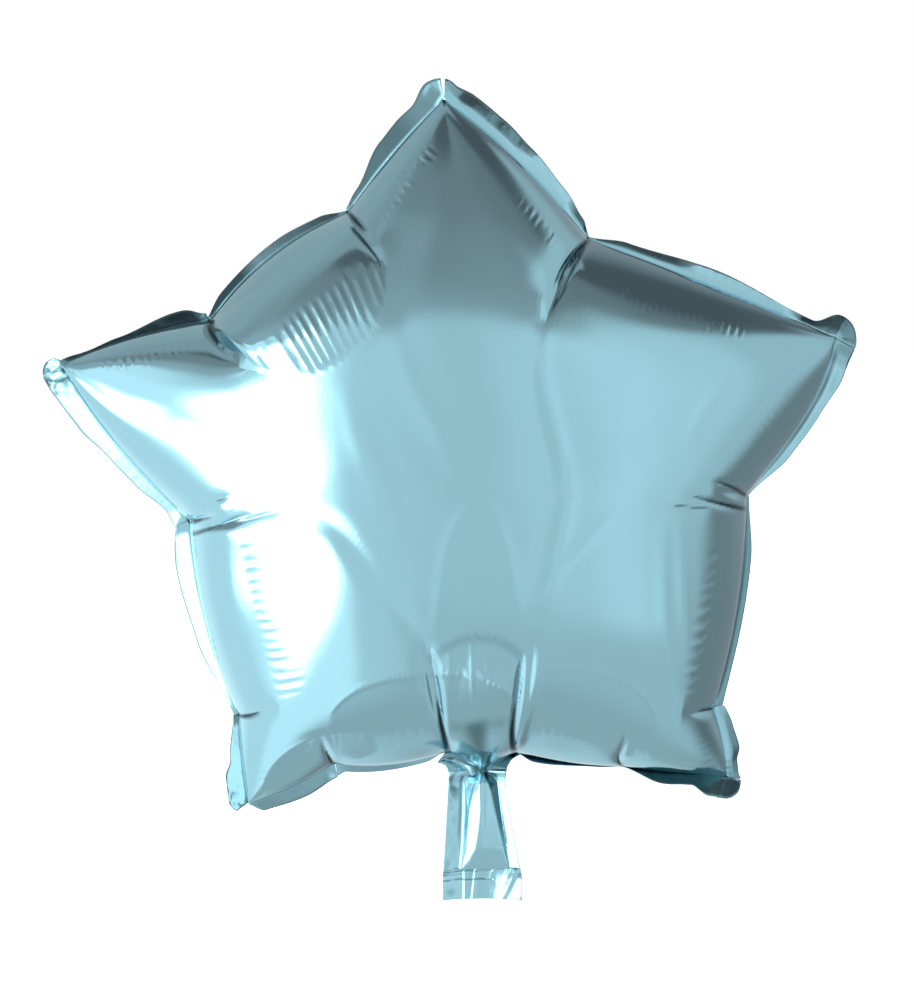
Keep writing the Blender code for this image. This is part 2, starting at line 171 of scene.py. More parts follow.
FILM_WELD, STRIP_WELD, SLIVER = 1e-6, 5e-6, 1e-7  # in metres
FILM = "_film"  # ends the name of what shows a CAD node


def corner(name):
    return np.array(CORNERS[name], float)


def outward(start, end):
    """The unit normal that points out of the star from a run that goes clockwise."""
    along = end - start
    return np.array((-along[1], along[0])) / np.linalg.norm(along)


def run_point(run, share):
    start, end = corner(run.start), corner(run.end)
    out = 4 * share * (1 - share) * (run.bow + run.lean * (1 - 2 * share))
    return start + (end - start) * share + outward(start, end) * out


def eased(value):
    value = np.clip(value, 0, 1)
    return value * value * (3 - 2 * value)


def distances(line):
    """How far along a line of points each of them is."""
    return np.concatenate(((0,), np.cumsum(np.linalg.norm(np.diff(line, axis=0), axis=1))))


def ruled(first, last, shares):
    """Places, or values, at shares of the way from each of the first to its last."""
    return first[:, None] + (last - first)[:, None] * (shares[:, None] if first.ndim > 1 else shares)


def side_runs(tip, away):
    """The runs between a tip and the fold on one side of it, in clockwise order."""
    runs = []
    at = tip
    while at == tip or at.startswith("pinch"):
        runs.append(next(run for run in RUNS if (run.start if away else run.end) == at))
        at = runs[-1].end if away else runs[-1].start
    return runs if away else runs[::-1]


def seam_columns():
    """Points of the seam, clockwise, and the point of the star's ridges that the column from each runs to."""
    edges, ridges = [], []
    for tip, count in SIDE_SAMPLES.items():
        for away in (False, True):
            runs = side_runs(tip, away)
            lengths = [np.linalg.norm(corner(run.end) - corner(run.start)) for run in runs]
            first = count if len(runs) == 1 else round(count * lengths[0] / sum(lengths))
            counts = zip(runs, (first, count - first))
            stations = [(run, step / many) for run, many in counts for step in range(many)]
            for done, (run, share) in enumerate(stations):
                part = done / count if away else 1 - done / count
                edges.append(run_point(run, share))
                ridges.append(corner(tip) * (1 - RIDGE_START * part - (1 - RIDGE_START) * part**3))
        if tip == "lower_right":
            for start, end in (("fold_neck_right", "gather"), ("gather", "fold_neck_left")):
                for step in range(MOUTH_SAMPLES):
                    edges.append(corner(start) + (corner(end) - corner(start)) * (step / MOUTH_SAMPLES))
                    ridges.append(np.zeros(2))
    return np.array(edges), np.array(ridges)


def grid_quads(grid):
    """The quads of a grid of point numbers."""
    return np.stack((grid[:-1, :-1], grid[1:, :-1], grid[1:, 1:], grid[:-1, 1:]), axis=-1).reshape(-1, 4)


def row_shares(row_step=1):
    return (np.arange(0, ROWS + 1, row_step) / ROWS) ** ROW_CROWDING


def plan_grid(edges, ridges, row_step=1):
    """Points of the ruled plan, the index of each column's rows in them, and its triangles."""
    rows = row_shares(row_step)
    points = ruled(edges, ridges, rows).reshape(-1, 2)
    keys = np.round(points * PLAN_STEPS).astype(np.int64)
    _, first, shared = np.unique(keys, axis=0, return_index=True, return_inverse=True)
    grid = shared.reshape(len(edges), len(rows))
    quads = grid_quads(np.vstack((grid, grid[:1])))
    triangles = np.concatenate((quads[:, (0, 1, 2)], quads[:, (0, 2, 3)]))
    distinct = (triangles != np.roll(triangles, 1, axis=1)).all(axis=1)
    return points[first], grid, triangles[distinct]


def pressed(points, triangles, held, guess, rounds):
    """The membrane's lift under even pressure, held at the rim: conjugate gradients on the triangles."""
    count = len(points)
    corners = points[triangles]
    sides = corners[:, (2, 0, 1)] - corners[:, (1, 2, 0)]
    area = np.abs(sides[:, 0, 0] * sides[:, 1, 1] - sides[:, 0, 1] * sides[:, 1, 0]) / 2
    area = np.maximum(area, LEAST_AREA)
    first = triangles[:, (1, 2, 0)].ravel()
    second = triangles[:, (2, 0, 1)].ravel()
    dots = -(sides[:, (1, 2, 0)] * sides[:, (2, 0, 1)]).sum(axis=2)
    weight = (dots / (4 * area[:, None])).ravel()
    diagonal = np.bincount(first, weight, count) + np.bincount(second, weight, count)
    free = np.ones(count)
    free[held] = 0
    load = np.bincount(triangles.ravel(), np.repeat(area / 3, 3), count) * free
    diagonal = np.where(free > 0, np.maximum(diagonal, LEAST_WEIGHT), 1.0)

    def pull(lift):
        spread = np.bincount(first, weight * lift[second], count)
        spread = spread + np.bincount(second, weight * lift[first], count)
        return (diagonal * lift - spread) * free

    lift = guess * free
    rest = load - pull(lift)
    step = scaled = rest / diagonal
    energy = rest @ scaled
    for _ in range(rounds):
        pulled = pull(step)
        far = energy / (step @ pulled)
        lift = lift + far * step
        rest = rest - far * pulled
        scaled = rest / diagonal
        energy, last_energy = rest @ scaled, energy
        step = scaled + energy / last_energy * step
    return np.maximum(lift, 0)


def resampled(table, at):
    """A table's rows read between them."""
    low = np.minimum(np.floor(at).astype(int), len(table) - 2)
    return table[low] + (table[low + 1] - table[low]) * (at - low)[:, None]


def film_plan():
    """The seam, the ridges, the plan's points, grid and triangles, and the lift as a share of the belly."""
    edges, ridges = seam_columns()
    points, grid, triangles = plan_grid(edges[::COARSE_COLUMNS], ridges[::COARSE_COLUMNS], COARSE_ROWS)
    table = pressed(points, triangles, grid[:, 0], np.zeros(len(points)), COARSE_ROUNDS)[grid]
    table = resampled(np.vstack((table, table[:1])), np.arange(len(edges)) / COARSE_COLUMNS)
    table = resampled(table.T, np.arange(ROWS + 1) / COARSE_ROWS).T
    points, grid, triangles = plan_grid(edges, ridges)
    guess = np.zeros(len(points))
    guess[grid.ravel()] = table.ravel()
    lift = pressed(points, triangles, grid[:, 0], guess, FINE_ROUNDS)
    return edges, ridges, points, grid, triangles, np.sqrt(lift / lift.max())


# Lobes: between two gathers the film is drawn in, and an arc parts it from the body of the star. The ends
# of the run, the lobe's middle as a share of it, its half width and its depth inwards, how square its arc is,
# how far it is drawn in, how far it puffs out, and the height of the fine welt along the arc.
LOBES = (
    ("pinch_left_arm", "fold_upper_left", 0.51, 49, 53.5, 2.3, 0, 7, 0),
    ("fold_neck_left", "pinch_left_base", 0.23, 56, 52, 2.6, 3.4, 0, 0.42),
    ("pinch_left_base", "lower_left", 0.1, 36, 22.5, 2, 2.6, 0, 0.12),
    ("pinch_right_base", "fold_neck_right", 0.835, 66, 58, 2.6, 2.8, 0, 0.26),
    ("fold_neck_right", "fold_neck_left", 0.5, 19, 70, 2.4, -1.2, 0, 0),
)

# Creases: the points of each line, the share of the height it takes away, its half width, and whether it
# starts at a gather. Those that do fade inwards; the others fade to both ends.
CREASES = (
    (((73.1, 123.3), (63.7, 118.4), (56.5, 110.8), (50.1, 101.9), (46, 94)), 0.3, 2, True),
    (((65, 116.9), (53.1, 102.3), (43.7, 87.6)), 0.045, 1.6, False),
    (((44.5, 86), (34.2, 65.9), (33.6, 45.2), (38.2, 24.5), (42.8, 3.5), (47.2, -17.8)), 0.006, 4, False),
    (((151.8, -19.1), (148.1, -16.3), (139.4, -13.2), (130, -10)), 0.22, 2.4, True),
    (((149, -24.2), (129.3, -16.8), (113.4, -10.3)), 0.035, 1.8, False),
    (((150.7, -17.9), (138.2, -9.1), (127.9, -4.1)), 0.04, 1.8, False),
    (((126, -20), (94.4, -12.6)), 0.014, 1.8, False),
    (((129.1, -132.6), (123, -132.1), (114.6, -130.9), (108, -130)), 0.3, 2, True),
    (((78.2, -161.9), (74.1, -155.3), (76.2, -148.4), (77.8, -141.2), (78.8, -133.4)), 0.22, 2, True),
    (((19.5, -149.8), (16.9, -136.1), (18.4, -120.9), (20.7, -100.7), (22.3, -84.2)), 0.075, 1.7, False),
    (((23, -130), (25, -112), (27, -92), (28, -80)), 0.03, 1.5, False),
    (((-16, -147.4), (-18.2, -136.2), (-21, -121), (-23.2, -105.5), (-26.5, -83.1)), 0.075, 1.7, False),
    (((-23, -125), (-25.4, -110.4), (-28.7, -87.5), (-29.5, -80)), 0.035, 1.6, False),
    (((-31, -108), (-32, -95.4), (-33.2, -80.6)), 0.015, 1.5, False),
    (((-77, -150.8), (-81, -142.4), (-84.2, -132.1), (-85.5, -125.8)), 0.22, 2, True),
    (((-126.7, -121.3), (-121.1, -119.3), (-110.5, -113.7), (-106, -112)), 0.25, 2, True),
    (((-147.2, -15.1), (-142.2, -11.6), (-136, -9.5), (-130, -8)), 0.35, 2, True),
    (((-146.1, -9.3), (-138.8, -5.3), (-131.5, -2)), 0.06, 1.6, False),
    (((-147, -21.1), (-135.5, -15.4), (-126.3, -12.1), (-115.7, -7)), 0.07, 1.6, False),
    (((-133.9, -16.6), (-114.3, -10), (-99.9, -6)), 0.025, 1.4, False),
    (((-142.3, -3.4), (-126.4, 2)), 0.05, 1.6, False),
    (((-130.2, 90.6), (-131.1, 87.3), (-127.5, 80.2), (-121.9, 75.4), (-112, 70)), 0.3, 2.2, True),
    (((-54.1, 144.2), (-50.6, 139.9), (-46, 133.8), (-42, 128)), 0.28, 1.8, True),
    (((-55.3, 139.5), (-48.1, 129.4), (-40, 118.7)), 0.06, 1.6, False),
)
CUSP = 0.6  # how round a crease's bottom is, up to CUSP_WIDTH, past which it widens with the crease
CUSP_WIDTH = 2.4

# Soft folds of the film: the points of each line, how far it stands up, and its half width
FOLDS = (
    (((-205, 73), (-170, 76.5), (-140, 78.7), (-118, 80)), 1.5, 9),
    (((-115, -3), (-90, -8), (-73, -13), (-60, -32), (-45, -56), (-30, -78)), -0.6, 5),
    (((42, 84), (38.4, 60), (42.5, 36.5), (47.4, 13.3), (49, -7.2), (43.8, -27.7), (38, -48.6), (32, -69.6)),
     0.8, 4.6),
    (((92.9, -6), (65.2, -22), (43.4, -44.1), (26.4, -64.3)), 0.35, 3.4),
    (((-23.6, -77.7), (-20, -50.9), (-15.6, -27.2), (-5.2, -9.3), (4.7, -5.2), (12.5, -18.2), (16.8, -36.8),
      (21.6, -69.3)), 0.35, 3.4),
    (((98.6, -20), (98, -55), (98.4, -88), (105, -122)), 0.45, 3.2),
    (((109.4, -22), (109.6, -56.5), (109.8, -90)), 0.4, 3),
    (((140, 50), (122.4, 30.7), (113.1, 13.1)), 0.4, 3.4),
    (((-40, 96), (-34, 66), (-24, 44), (-12, 24), (-6, 2)), 0.45, 6.5),
    (((-62, 60), (-58, 30), (-48, 4), (-42, -30)), 0.4, 6.5),
    (((-4.6, -79), (-5, -98.4), (-4.2, -120.1)), 0.34, 1.2),
    (((15.4, -86.9), (16, -102), (16.8, -120.6)), 0.26, 1.1),
    (((-16.6, -84.6), (-16, -104)), 0.2, 1.1),
    (((10, -86), (10.4, -110)), 0.1, 1),
    (((3, -84), (3.2, -114)), 0.08, 1),
)

# Pleats across a run: the run's ends, from and to where along it, from and to how deep, how far they take to
# rise and to fade, their spacing, how much they draw together inwards, and how high they stand
PLEATS = (
    ("pinch_left_arm", "fold_upper_left", 2, 94, 20, 62, 6, 3, 6, 0.0036, 0.34),
    ("pinch_left_arm", "fold_upper_left", 4, 88, 4, 12, 3, 5, 3.6, 0, 0.2),
    ("pinch_left_side", "fold_left", 8, 100, 22, 43, 4, 12, 5.8, 0, 0.5),
    ("fold_right", "pinch_right_side", 22, 110, 14, 27, 3, 10, 7.4, 0, 0.5),
    ("fold_upper_right", "right", 10, 95, 11, 27, 6, 5, 3.9, 0, 0.18),
    ("left", "pinch_left_arm", 18, 74, 3, 14, 3, 6, 4.4, 0, 0.2),
    ("fold_upper_left", "top", 6, 56, 6, 20, 4, 6, 4.6, 0, 0.3),
    ("top", "fold_upper_right", 60, 104, 8, 20, 4, 6, 4.2, 0, 0.12),
    ("right", "fold_right", 36, 92, 8, 24, 4, 8, 5, 0, 0.14),
    ("pinch_right_base", "fold_neck_right", 6, 56, 14, 40, 6, 10, 5.4, 0, 0.1),
    ("fold_neck_left", "pinch_left_base", 6, 56, 14, 40, 6, 10, 6.4, 0, 0.05),
    ("fold_neck_right", "fold_neck_left", 3, 33, 20, 62, 10, 8, 5.5, 0, 0.07),
    ("pinch_right_side", "lower_right", 4, 34, 6, 16, 4, 5, 4, 0, 0.1),
    ("lower_left", "pinch_left_side", 8, 44, 6, 16, 4, 5, 3.6, 0, 0.12),
)
LOBE_PLEATS = 0  # the row of broad ribs that fill the first lobe
PLEAT_ENDS = 6.0  # over which a row of pleats comes in and goes out along its run
PUCKER_SPACING = 2.3
PUCKER_DEPTH = 5.0
PUCKER_HEIGHT = 0.05
SWAY = 0.45  # the film's broad unevenness
SWAY_LENGTHS = (95, 52)
CALM_WIDTH = 25.0  # beside the seam, where the sway comes in
NOISE_VALUES = 512

# Lines of painted shade, softly darker where the film turns under: the points of each line, its half width at
# its start and end, its depth, and the shares of its length over which it fades in and out
PAINTED_SHADE_LINES = (
    (((-25, -94), (-22.5, -85), (-13.2, -79.7), (-4.4, -77.6), (4.4, -78.4), (13.1, -81.9), (19.5, -87),
      (22.4, -95)), 2.4, 2.4, 0.22, 0.15, 0.15),
    (((-4, -123), (-2.6, -130), (0, -141), (2, -154)), 8, 2.4, 0.62, 0.2, 0.02),
    (((-21, -126), (-12, -129), (-4, -129), (8, -128), (17, -124)), 3.4, 3.4, 0.18, 0.2, 0.2),
    # painted reflection: the flank below the right side pinch, darker as if it mirrored the dim room
    (((121, -133), (122, -150), (127, -168)), 7.5, 4, 0.3, 0.15, 0.1),
)

# Painted shade in slits, where a gather's two flanks close on each other: each line's points, its half width
# and the depth of its painted shade
PAINTED_SLITS = (
    (((73.1, 123.3), (68, 121), (63, 117.5), (56, 110), (50.1, 101.5)), 1.5, 1),
    (((151.8, -19.1), (145, -13.6), (138.2, -9.1), (129.5, -4.8)), 1.3, 1),
    (((129.1, -132.6), (124.5, -131.6), (117, -131.2)), 1.2, 1),
    (((78.2, -161.9), (74.6, -157), (74.6, -151.5)), 1.1, 1),
    (((19.5, -149.8), (16.4, -139), (16.8, -127), (18.4, -113)), 1.9, 1),
    (((-16, -147.4), (-18.6, -138), (-21.4, -124), (-23, -110)), 1.9, 1),
    (((-77, -150.8), (-80, -145), (-82.4, -138.5)), 1.2, 1),
    (((-126.7, -121.3), (-121.5, -119.6), (-115.5, -116.6)), 1.3, 1),
    (((-147.2, -15.1), (-142.8, -13.4), (-139.5, -11.5)), 1.5, 1),
    (((-130.2, 90.6), (-130.4, 86.5), (-127, 80), (-123.5, 76.5)), 1.9, 1),
    (((-54.1, 144.2), (-51.2, 140.6), (-46, 134)), 1.5, 1),
    (((-53, 136.5), (-46.5, 128), (-40, 119)), 1.2, 0.9),
    (((70, 121.5), (59, 108), (51.5, 97), (45.5, 88.5)), 1.1, 0.9),
    (((150.5, -25), (139, -20.6), (129.3, -16.8), (115.5, -11)), 1.3, 1),
    (((124, -19.4), (104, -15)), 0.7, 0.7),
    (((-146, -21.5), (-138, -17), (-129, -13.5)), 1.2, 0.8),
    (((0, 201), (0.2, 197.5)), 1, 1),
)


def waves(place, length, seed, count=6):
    """Soft unevenness over the plan, between about -1 and 1: a few waves in fixed directions."""
    random = np.random.default_rng(seed)
    total = np.zeros(len(place))
    for _ in range(count):
        angle, phase = random.uniform(0, 2 * math.pi), random.uniform(0, 2 * math.pi)
        stretch = random.uniform(0.75, 1.5)
        ahead = place @ np.array((math.cos(angle), math.sin(angle)))
        total += np.sin(2 * math.pi * ahead / (length * stretch) + phase)
    return total / math.sqrt(2 * count)


def noise_line(place, length, seed):
    """Smooth random values along a line, between -1 and 1."""
    table = np.random.default_rng(seed).uniform(-1, 1, NOISE_VALUES)
    at = place / length + NOISE_VALUES // 2
    low = np.floor(at).astype(int)
    share = eased(at - low)
    return table[low % NOISE_VALUES] * (1 - share) + table[(low + 1) % NOISE_VALUES] * share


def bell(apart, half_width):
    return np.exp(-((apart / half_width) ** 2))


def window(value, low, high, rise, fade):
    return eased((value - low) / rise) * eased((high - value) / fade)


def run_frame(points, start_name, end_name):
    """Where points are along a run and how far inside it, and the run's length."""
    start, end = corner(start_name), corner(end_name)
    length = np.linalg.norm(end - start)
    offset = points - start
    return offset @ (end - start) / length, -(offset @ outward(start, end)), length


def lobe_reach(along, inside, half, depth, square):
    """How far out from a lobe's middle places are: 1 at its arc."""
    return ((np.abs(along) / half) ** square + (np.abs(inside) / depth) ** square) ** (1 / square)


def lobe_lift(points):
    """How far the lobes draw the film in or puff it out; a puff is fullest near the start of its run."""
    lifted = np.zeros(len(points))
    for start, end, middle, half, depth, square, drawn, puff, welt in LOBES:
        along, inside, length = run_frame(points, start, end)
        reach = lobe_reach(along - middle * length, inside, half, depth, square)
        across = eased((along + max(2, half - middle * length - 4)) / 6) * eased((length - along + 2) / 6)
        away = 1 - np.exp(-np.maximum(inside, 0) / 6)
        aside = (along - middle * length) / half
        fullness = 1 - 0.5 * np.clip(aside, -1, 1)
        arc = depth * (1 - np.minimum(1, np.abs(aside)) ** square) ** (1 / square)
        rising = np.maximum(0, arc - inside) / (0.5 * depth) * fullness
        cushion = fullness * rising / (1 + rising**6) ** (1 / 6)
        lifted += (puff * cushion - drawn * np.maximum(0, 1 - reach) * (1 + reach)) * away * across
        lifted += welt * bell((reach - 1) * depth, 1.1) * across * eased(inside / 8)
    return lifted


def rounded(line):
    """A line's corners cut twice, which makes it a curve; its ends stay."""
    for _ in range(2):
        first, second = line[:-1], line[1:]
        cut = np.stack((0.75 * first + 0.25 * second, 0.25 * first + 0.75 * second), axis=1).reshape(-1, 2)
        line = np.concatenate((line[:1], cut[1:-1], line[-1:]))
    return line


def line_distance(points, line):
    """Distance from a line of points, and how far along it, from 0 to 1, each point is nearest."""
    line = rounded(np.array(line))
    lengths = np.linalg.norm(np.diff(line, axis=0), axis=1)
    before = distances(line)
    best = np.full(len(points), 1e9)
    where = np.zeros(len(points))
    for number, (start, end) in enumerate(zip(line, line[1:])):
        along = (end - start) / lengths[number]
        reach = np.clip((points - start) @ along, 0, lengths[number])
        apart = np.linalg.norm(points - start - reach[:, None] * along, axis=1)
        closer = apart < best
        best = np.where(closer, apart, best)
        where = np.where(closer, (before[number] + reach) / before[-1], where)
    return best, where


def creased(points, height):
    for line, share, half_width, from_gather in CREASES:
        apart, where = line_distance(points, line)
        fade = (1 - where) ** 1.3 if from_gather else np.sin(math.pi * np.clip(where, 0.02, 0.98)) ** 0.8
        cusp = CUSP + max(0.0, half_width - CUSP_WIDTH)
        valley = np.exp((cusp - np.hypot(apart, cusp)) / half_width) * fade
        if from_gather:
            valley = valley + 0.22 * bell(apart, 5 * half_width) * (1 - where)
        height = height * (1 - share * valley)
    return height


def folded(points, height):
    for line, lift, half_width in FOLDS:
        apart, where = line_distance(points, line)
        ends = np.sin(math.pi * np.clip(where, 0.0, 1.0)) ** 0.7
        height = height + lift * bell(apart, half_width) * ends * eased(height / 10)
    return height


def painted_shade_depth(points):
    """From 0 to 1, how much painted shade each point gets, in slits and along the lines of painted shade."""
    depth = np.zeros(len(points))
    for line, half_width, deep in PAINTED_SLITS:
        apart, where = line_distance(points, line)
        taper = np.clip(1.25 * (1 - where) ** 0.7, 0, 1)
        edge = eased(1.35 - apart / (half_width * np.maximum(taper, 0.05)))
        depth = np.maximum(depth, deep * edge * (taper > 0.03) * eased((1 - where) / 0.12))
    for line, start_half, end_half, deep, fade_in, fade_out in PAINTED_SHADE_LINES:
        apart, where = line_distance(points, line)
        half_width = start_half + (end_half - start_half) * where
        shade = deep * np.exp(-(np.abs(apart / half_width) ** 2.6))
        depth = np.maximum(depth, shade * eased(where / fade_in) * eased((1 - where) / fade_out))
    return depth


def pleat_relief(points, seed):
    relief = np.zeros(len(points))
    for number, pleats in enumerate(PLEATS):
        start, end, first, last, low, high, rise, fade, spacing, draw, stand = pleats
        along, inside, length = run_frame(points, start, end)
        spread = along / (1 - draw * inside) if draw else along
        spread = spread + 0.35 * spacing * noise_line(spread, 2.6 * spacing, seed + number)
        phase = spread / spacing
        rib = np.floor(phase + 0.25)
        if number == LOBE_PLEATS:
            middle, half, depth, square = LOBES[0][2:6]
            out = lobe_reach(along - middle * length, inside, half, depth, square)
            ridge = (1.6 * bell(np.sin(math.pi * phase), 0.65) - 0.6) * eased((1 - out) / 0.06)
            reach = high
        else:
            ridge = np.arcsin(0.92 * np.sin(2 * math.pi * phase)) / (math.pi / 2)
            reach = high - 0.25 * (high - low) * (1 + noise_line(rib * 3.1, 1.0, seed + 80 + number))
        uneven = 0.65 + 0.45 * noise_line(rib * 7.3, 1.0, seed + 40 + number)
        ridge = stand * uneven * ridge * window(along, first, last, PLEAT_ENDS, PLEAT_ENDS)
        relief += ridge * window(inside, low, reach, rise, fade)
    return relief


def film_relief(points, edges, ridges, grid, seed):
    """Fine puckers beside the seam, pleats and broad unevenness, as a lift along the film's own normal."""
    relief = pleat_relief(points, seed)
    travelled, distance = np.zeros(len(points)), np.zeros(len(points))
    travelled[grid.ravel()] = np.repeat(distances(edges), ROWS + 1)
    distance[grid.ravel()] = (np.linalg.norm(ridges - edges, axis=1)[:, None] * row_shares()).ravel()
    wobble = travelled + 1.1 * noise_line(travelled, 5.0, seed + 7)
    strength = 0.5 + 0.5 * noise_line(travelled, 11.0, seed + 8)
    puckers = np.sin(2 * math.pi * wobble / PUCKER_SPACING) * window(distance, 0.2, PUCKER_DEPTH, 1.2, 3.0)
    relief += PUCKER_HEIGHT * strength * puckers
    long, short = SWAY_LENGTHS
    sway = waves(points, long, seed + 9) + 0.7 * waves(points, short, seed + 10)
    relief += SWAY * eased(distance / CALM_WIDTH) * sway
    return relief


def point_normals(places, triangles):
    normals = np.zeros_like(places)
    first, second, third = (places[triangles[:, index]] for index in range(3))
    faces = np.cross(second - first, third - first)
    for index in range(3):
        for axis in range(3):
            normals[:, axis] += np.bincount(triangles[:, index], faces[:, axis], len(places))
    return normals / np.maximum(np.linalg.norm(normals, axis=1), 1e-12)[:, None]


def new_piece(node, places, faces, marks, weld, material=None):
    """What shows a CAD node: an object at the origin, its doubles merged and its faces turned outward."""
    name = node + FILM
    mesh = bpy.data.meshes.new(name)
    mesh.from_pydata((places * MM).tolist(), [], [list(map(int, face)) for face in faces])
    mesh.validate()
    if material is not None:
        mesh.materials.append(material)
    for label, values in marks.items():
        mark = mesh.attributes.new(label, "FLOAT", "POINT")
        mark.data.foreach_set("value", np.ravel(values).astype(np.float32))
    bm = bmesh.new()
    bm.from_mesh(mesh)
    bmesh.ops.remove_doubles(bm, verts=bm.verts, dist=weld)
    bmesh.ops.dissolve_degenerate(bm, dist=SLIVER, edges=bm.edges)
    bmesh.ops.recalc_face_normals(bm, faces=bm.faces)
    bm.to_mesh(mesh)
    bm.free()
    mesh.polygons.foreach_set("use_smooth", [True] * len(mesh.polygons))
    piece = bpy.data.objects.new(name, mesh)
    bpy.context.scene.collection.objects.link(piece)
    return piece


def build_panel(name, side, film, seed):
    """One film panel as a closed skin: the shown film, a plain inner side and the rim between them."""
    edges, ridges, plan, grid, triangles, lift = film
    height = np.maximum(0, BELLY * lift + lobe_lift(plan))
    height = folded(plan, creased(plan, height))
    places = np.stack((plan[:, 0], side * (RIM + height), plan[:, 1]), axis=1)
    turned = triangles if side < 0 else triangles[:, ::-1]
    normals = point_normals(places, turned)
    if normals[np.argmax(height), 1] * side < 0:
        turned, normals = turned[:, ::-1], -normals
    rim = grid[:, 0]
    relief = film_relief(plan, edges, ridges, grid, seed)
    relief[rim] = 0
    outer = places + normals * relief[:, None]
    outer[:, 1] = side * np.maximum(RIM, side * outer[:, 1])
    rows = grid[:, INNER_ROWS]
    shrink = 1 - INNER_GAP / INNER_REACH
    inner = places[rows.ravel()] * (shrink, 1, shrink)
    inner_height = (side * inner[:, 1] - RIM) * (1 - INNER_GAP / BELLY) - INNER_GAP / 2
    inner[:, 1] = side * (RIM + np.maximum(0, inner_height))
    inner_grid = np.arange(len(inner)).reshape(rows.shape) + len(outer)
    inner_grid = np.vstack((inner_grid, inner_grid[:1]))
    walls = np.stack((rim, inner_grid[:-1, 0], inner_grid[1:, 0], np.roll(rim, -1)), axis=-1)
    faces = [*turned, *grid_quads(inner_grid)[:, (0, 3, 2, 1)], *walls]
    # Painted shade for the shown film; the inner side gets none
    shade_values = np.concatenate((painted_shade_depth(plan), np.zeros(len(inner))))
    return new_piece(name, np.concatenate((outer, inner)), faces, {"slit": shade_values}, FILM_WELD, FOIL)


# Node helpers


def add_node(tree, kind, inputs=None, **settings):
    node = tree.nodes.new(kind)
    for setting, value in settings.items():
        setattr(node, setting, value)
    for socket, value in (inputs or {}).items():
        if hasattr(value, "is_linked") or hasattr(value, "default_value"):
            tree.links.new(value, node.inputs[socket])
        else:
            node.inputs[socket].default_value = value
    return node


def new_group(name, kind, inputs, outputs):
    tree = bpy.data.node_groups.new(name, kind)
    for label, socket, value in inputs:
        made = tree.interface.new_socket(label, in_out="INPUT", socket_type=socket)
        if value is not None:
            made.default_value = value
    for label, socket in outputs:
        tree.interface.new_socket(label, in_out="OUTPUT", socket_type=socket)
    return tree, tree.nodes.new("NodeGroupInput").outputs, tree.nodes.new("NodeGroupOutput").inputs


def maths(tree, operation, first, second=0.0, third=0.0):
    return add_node(tree, "ShaderNodeMath", {0: first, 1: second, 2: third}, operation=operation).outputs[0]


def stepped(tree, value, low, high, from_value=0.0, to_value=1.0):
    """From one value to another as the input passes from low to high, eased."""
    inputs = {"Value": value, "From Min": low, "From Max": high, "To Min": from_value, "To Max": to_value}
    return add_node(tree, "ShaderNodeMapRange", inputs, interpolation_type="SMOOTHSTEP").outputs[0]


def noise(tree, place, scale, detail, roughness=0.5):
    inputs = {"Vector": place, "Scale": scale, "Detail": detail, "Roughness": roughness}
    return add_node(tree, "ShaderNodeTexNoise", inputs).outputs[0]


def colour_mix(tree, factor, first, second):
    """From the first colour to the second one, each an RGBA value or a socket."""
    mix = add_node(tree, "ShaderNodeMix", {"Factor": factor}, data_type="RGBA")
    for label, colour in (("A", first), ("B", second)):
        if isinstance(colour, tuple):
            mix.inputs[label].default_value = colour
        else:
            tree.links.new(colour, mix.inputs[label])
    return mix.outputs["Result"]


# Materials

FILM_COLOUR, SEAL_COLOUR = (0.345, 0.580, 0.655, 1.0), (0.352, 0.590, 0.665, 1.0)
PAINTED_SHADE_COLOUR = (0.010, 0.046, 0.056, 1.0)  # painted shade: the colour that darkened film goes to, at the bottom of slits and wherever shade is painted
HAZE_SCALE, GRAIN_SCALE, CRINKLE_SCALE = 22.0, 520.0, 150.0


def film_texture_group():
    """What both foils share: a slightly uneven haze and a very fine grain of the film."""
    inputs = (("Grain", "NodeSocketFloat", 0.02), ("Crinkle", "NodeSocketFloat", 0.0))
    outputs = (("Haze", "NodeSocketFloat"), ("Normal", "NodeSocketVector"))
    tree, given, made = new_group("film_texture", "ShaderNodeTree", inputs, outputs)
    place = tree.nodes.new("ShaderNodeTexCoord").outputs["Object"]
    tree.links.new(stepped(tree, noise(tree, place, HAZE_SCALE, 3.0), 0.35, 0.65), made["Haze"])
    height = maths(tree, "MULTIPLY", noise(tree, place, GRAIN_SCALE, 2.0), given["Grain"])
    creases = maths(tree, "SUBTRACT", noise(tree, place, CRINKLE_SCALE, 4.0, 0.6), 0.5)
    creases = maths(tree, "ABSOLUTE", creases)
    height = maths(tree, "MULTIPLY_ADD", creases, given["Crinkle"], height)
    bump = add_node(tree, "ShaderNodeBump", {"Height": height, "Distance": 0.001, "Strength": 1.0})
    tree.links.new(bump.outputs[0], made["Normal"])
    return tree


def foil_material(name, texture, colour, smoothness, grain, crinkle):
    """Metallised film: its colour, the range of its roughness, and how much its surface varies."""
    material = bpy.data.materials.new(name)
    material.use_nodes = True
    tree = material.node_tree
    shader = tree.nodes["Principled BSDF"].inputs
    # Painted shade: the base colour goes towards the painted shade colour as far as the point's painted shade
    # attribute says
    slit = add_node(tree, "ShaderNodeAttribute", attribute_name="slit").outputs["Fac"]
    tree.links.new(colour_mix(tree, slit, colour, PAINTED_SHADE_COLOUR), shader["Base Color"])
    shader["Metallic"].default_value = 1.0
    group = add_node(tree, "ShaderNodeGroup", node_tree=texture)
    group.inputs["Grain"].default_value = grain
    group.inputs["Crinkle"].default_value = crinkle
    low, high = smoothness
    tree.links.new(maths(tree, "MULTIPLY_ADD", group.outputs["Haze"], high - low, low), shader["Roughness"])
    tree.links.new(group.outputs["Normal"], shader["Normal"])
    return material


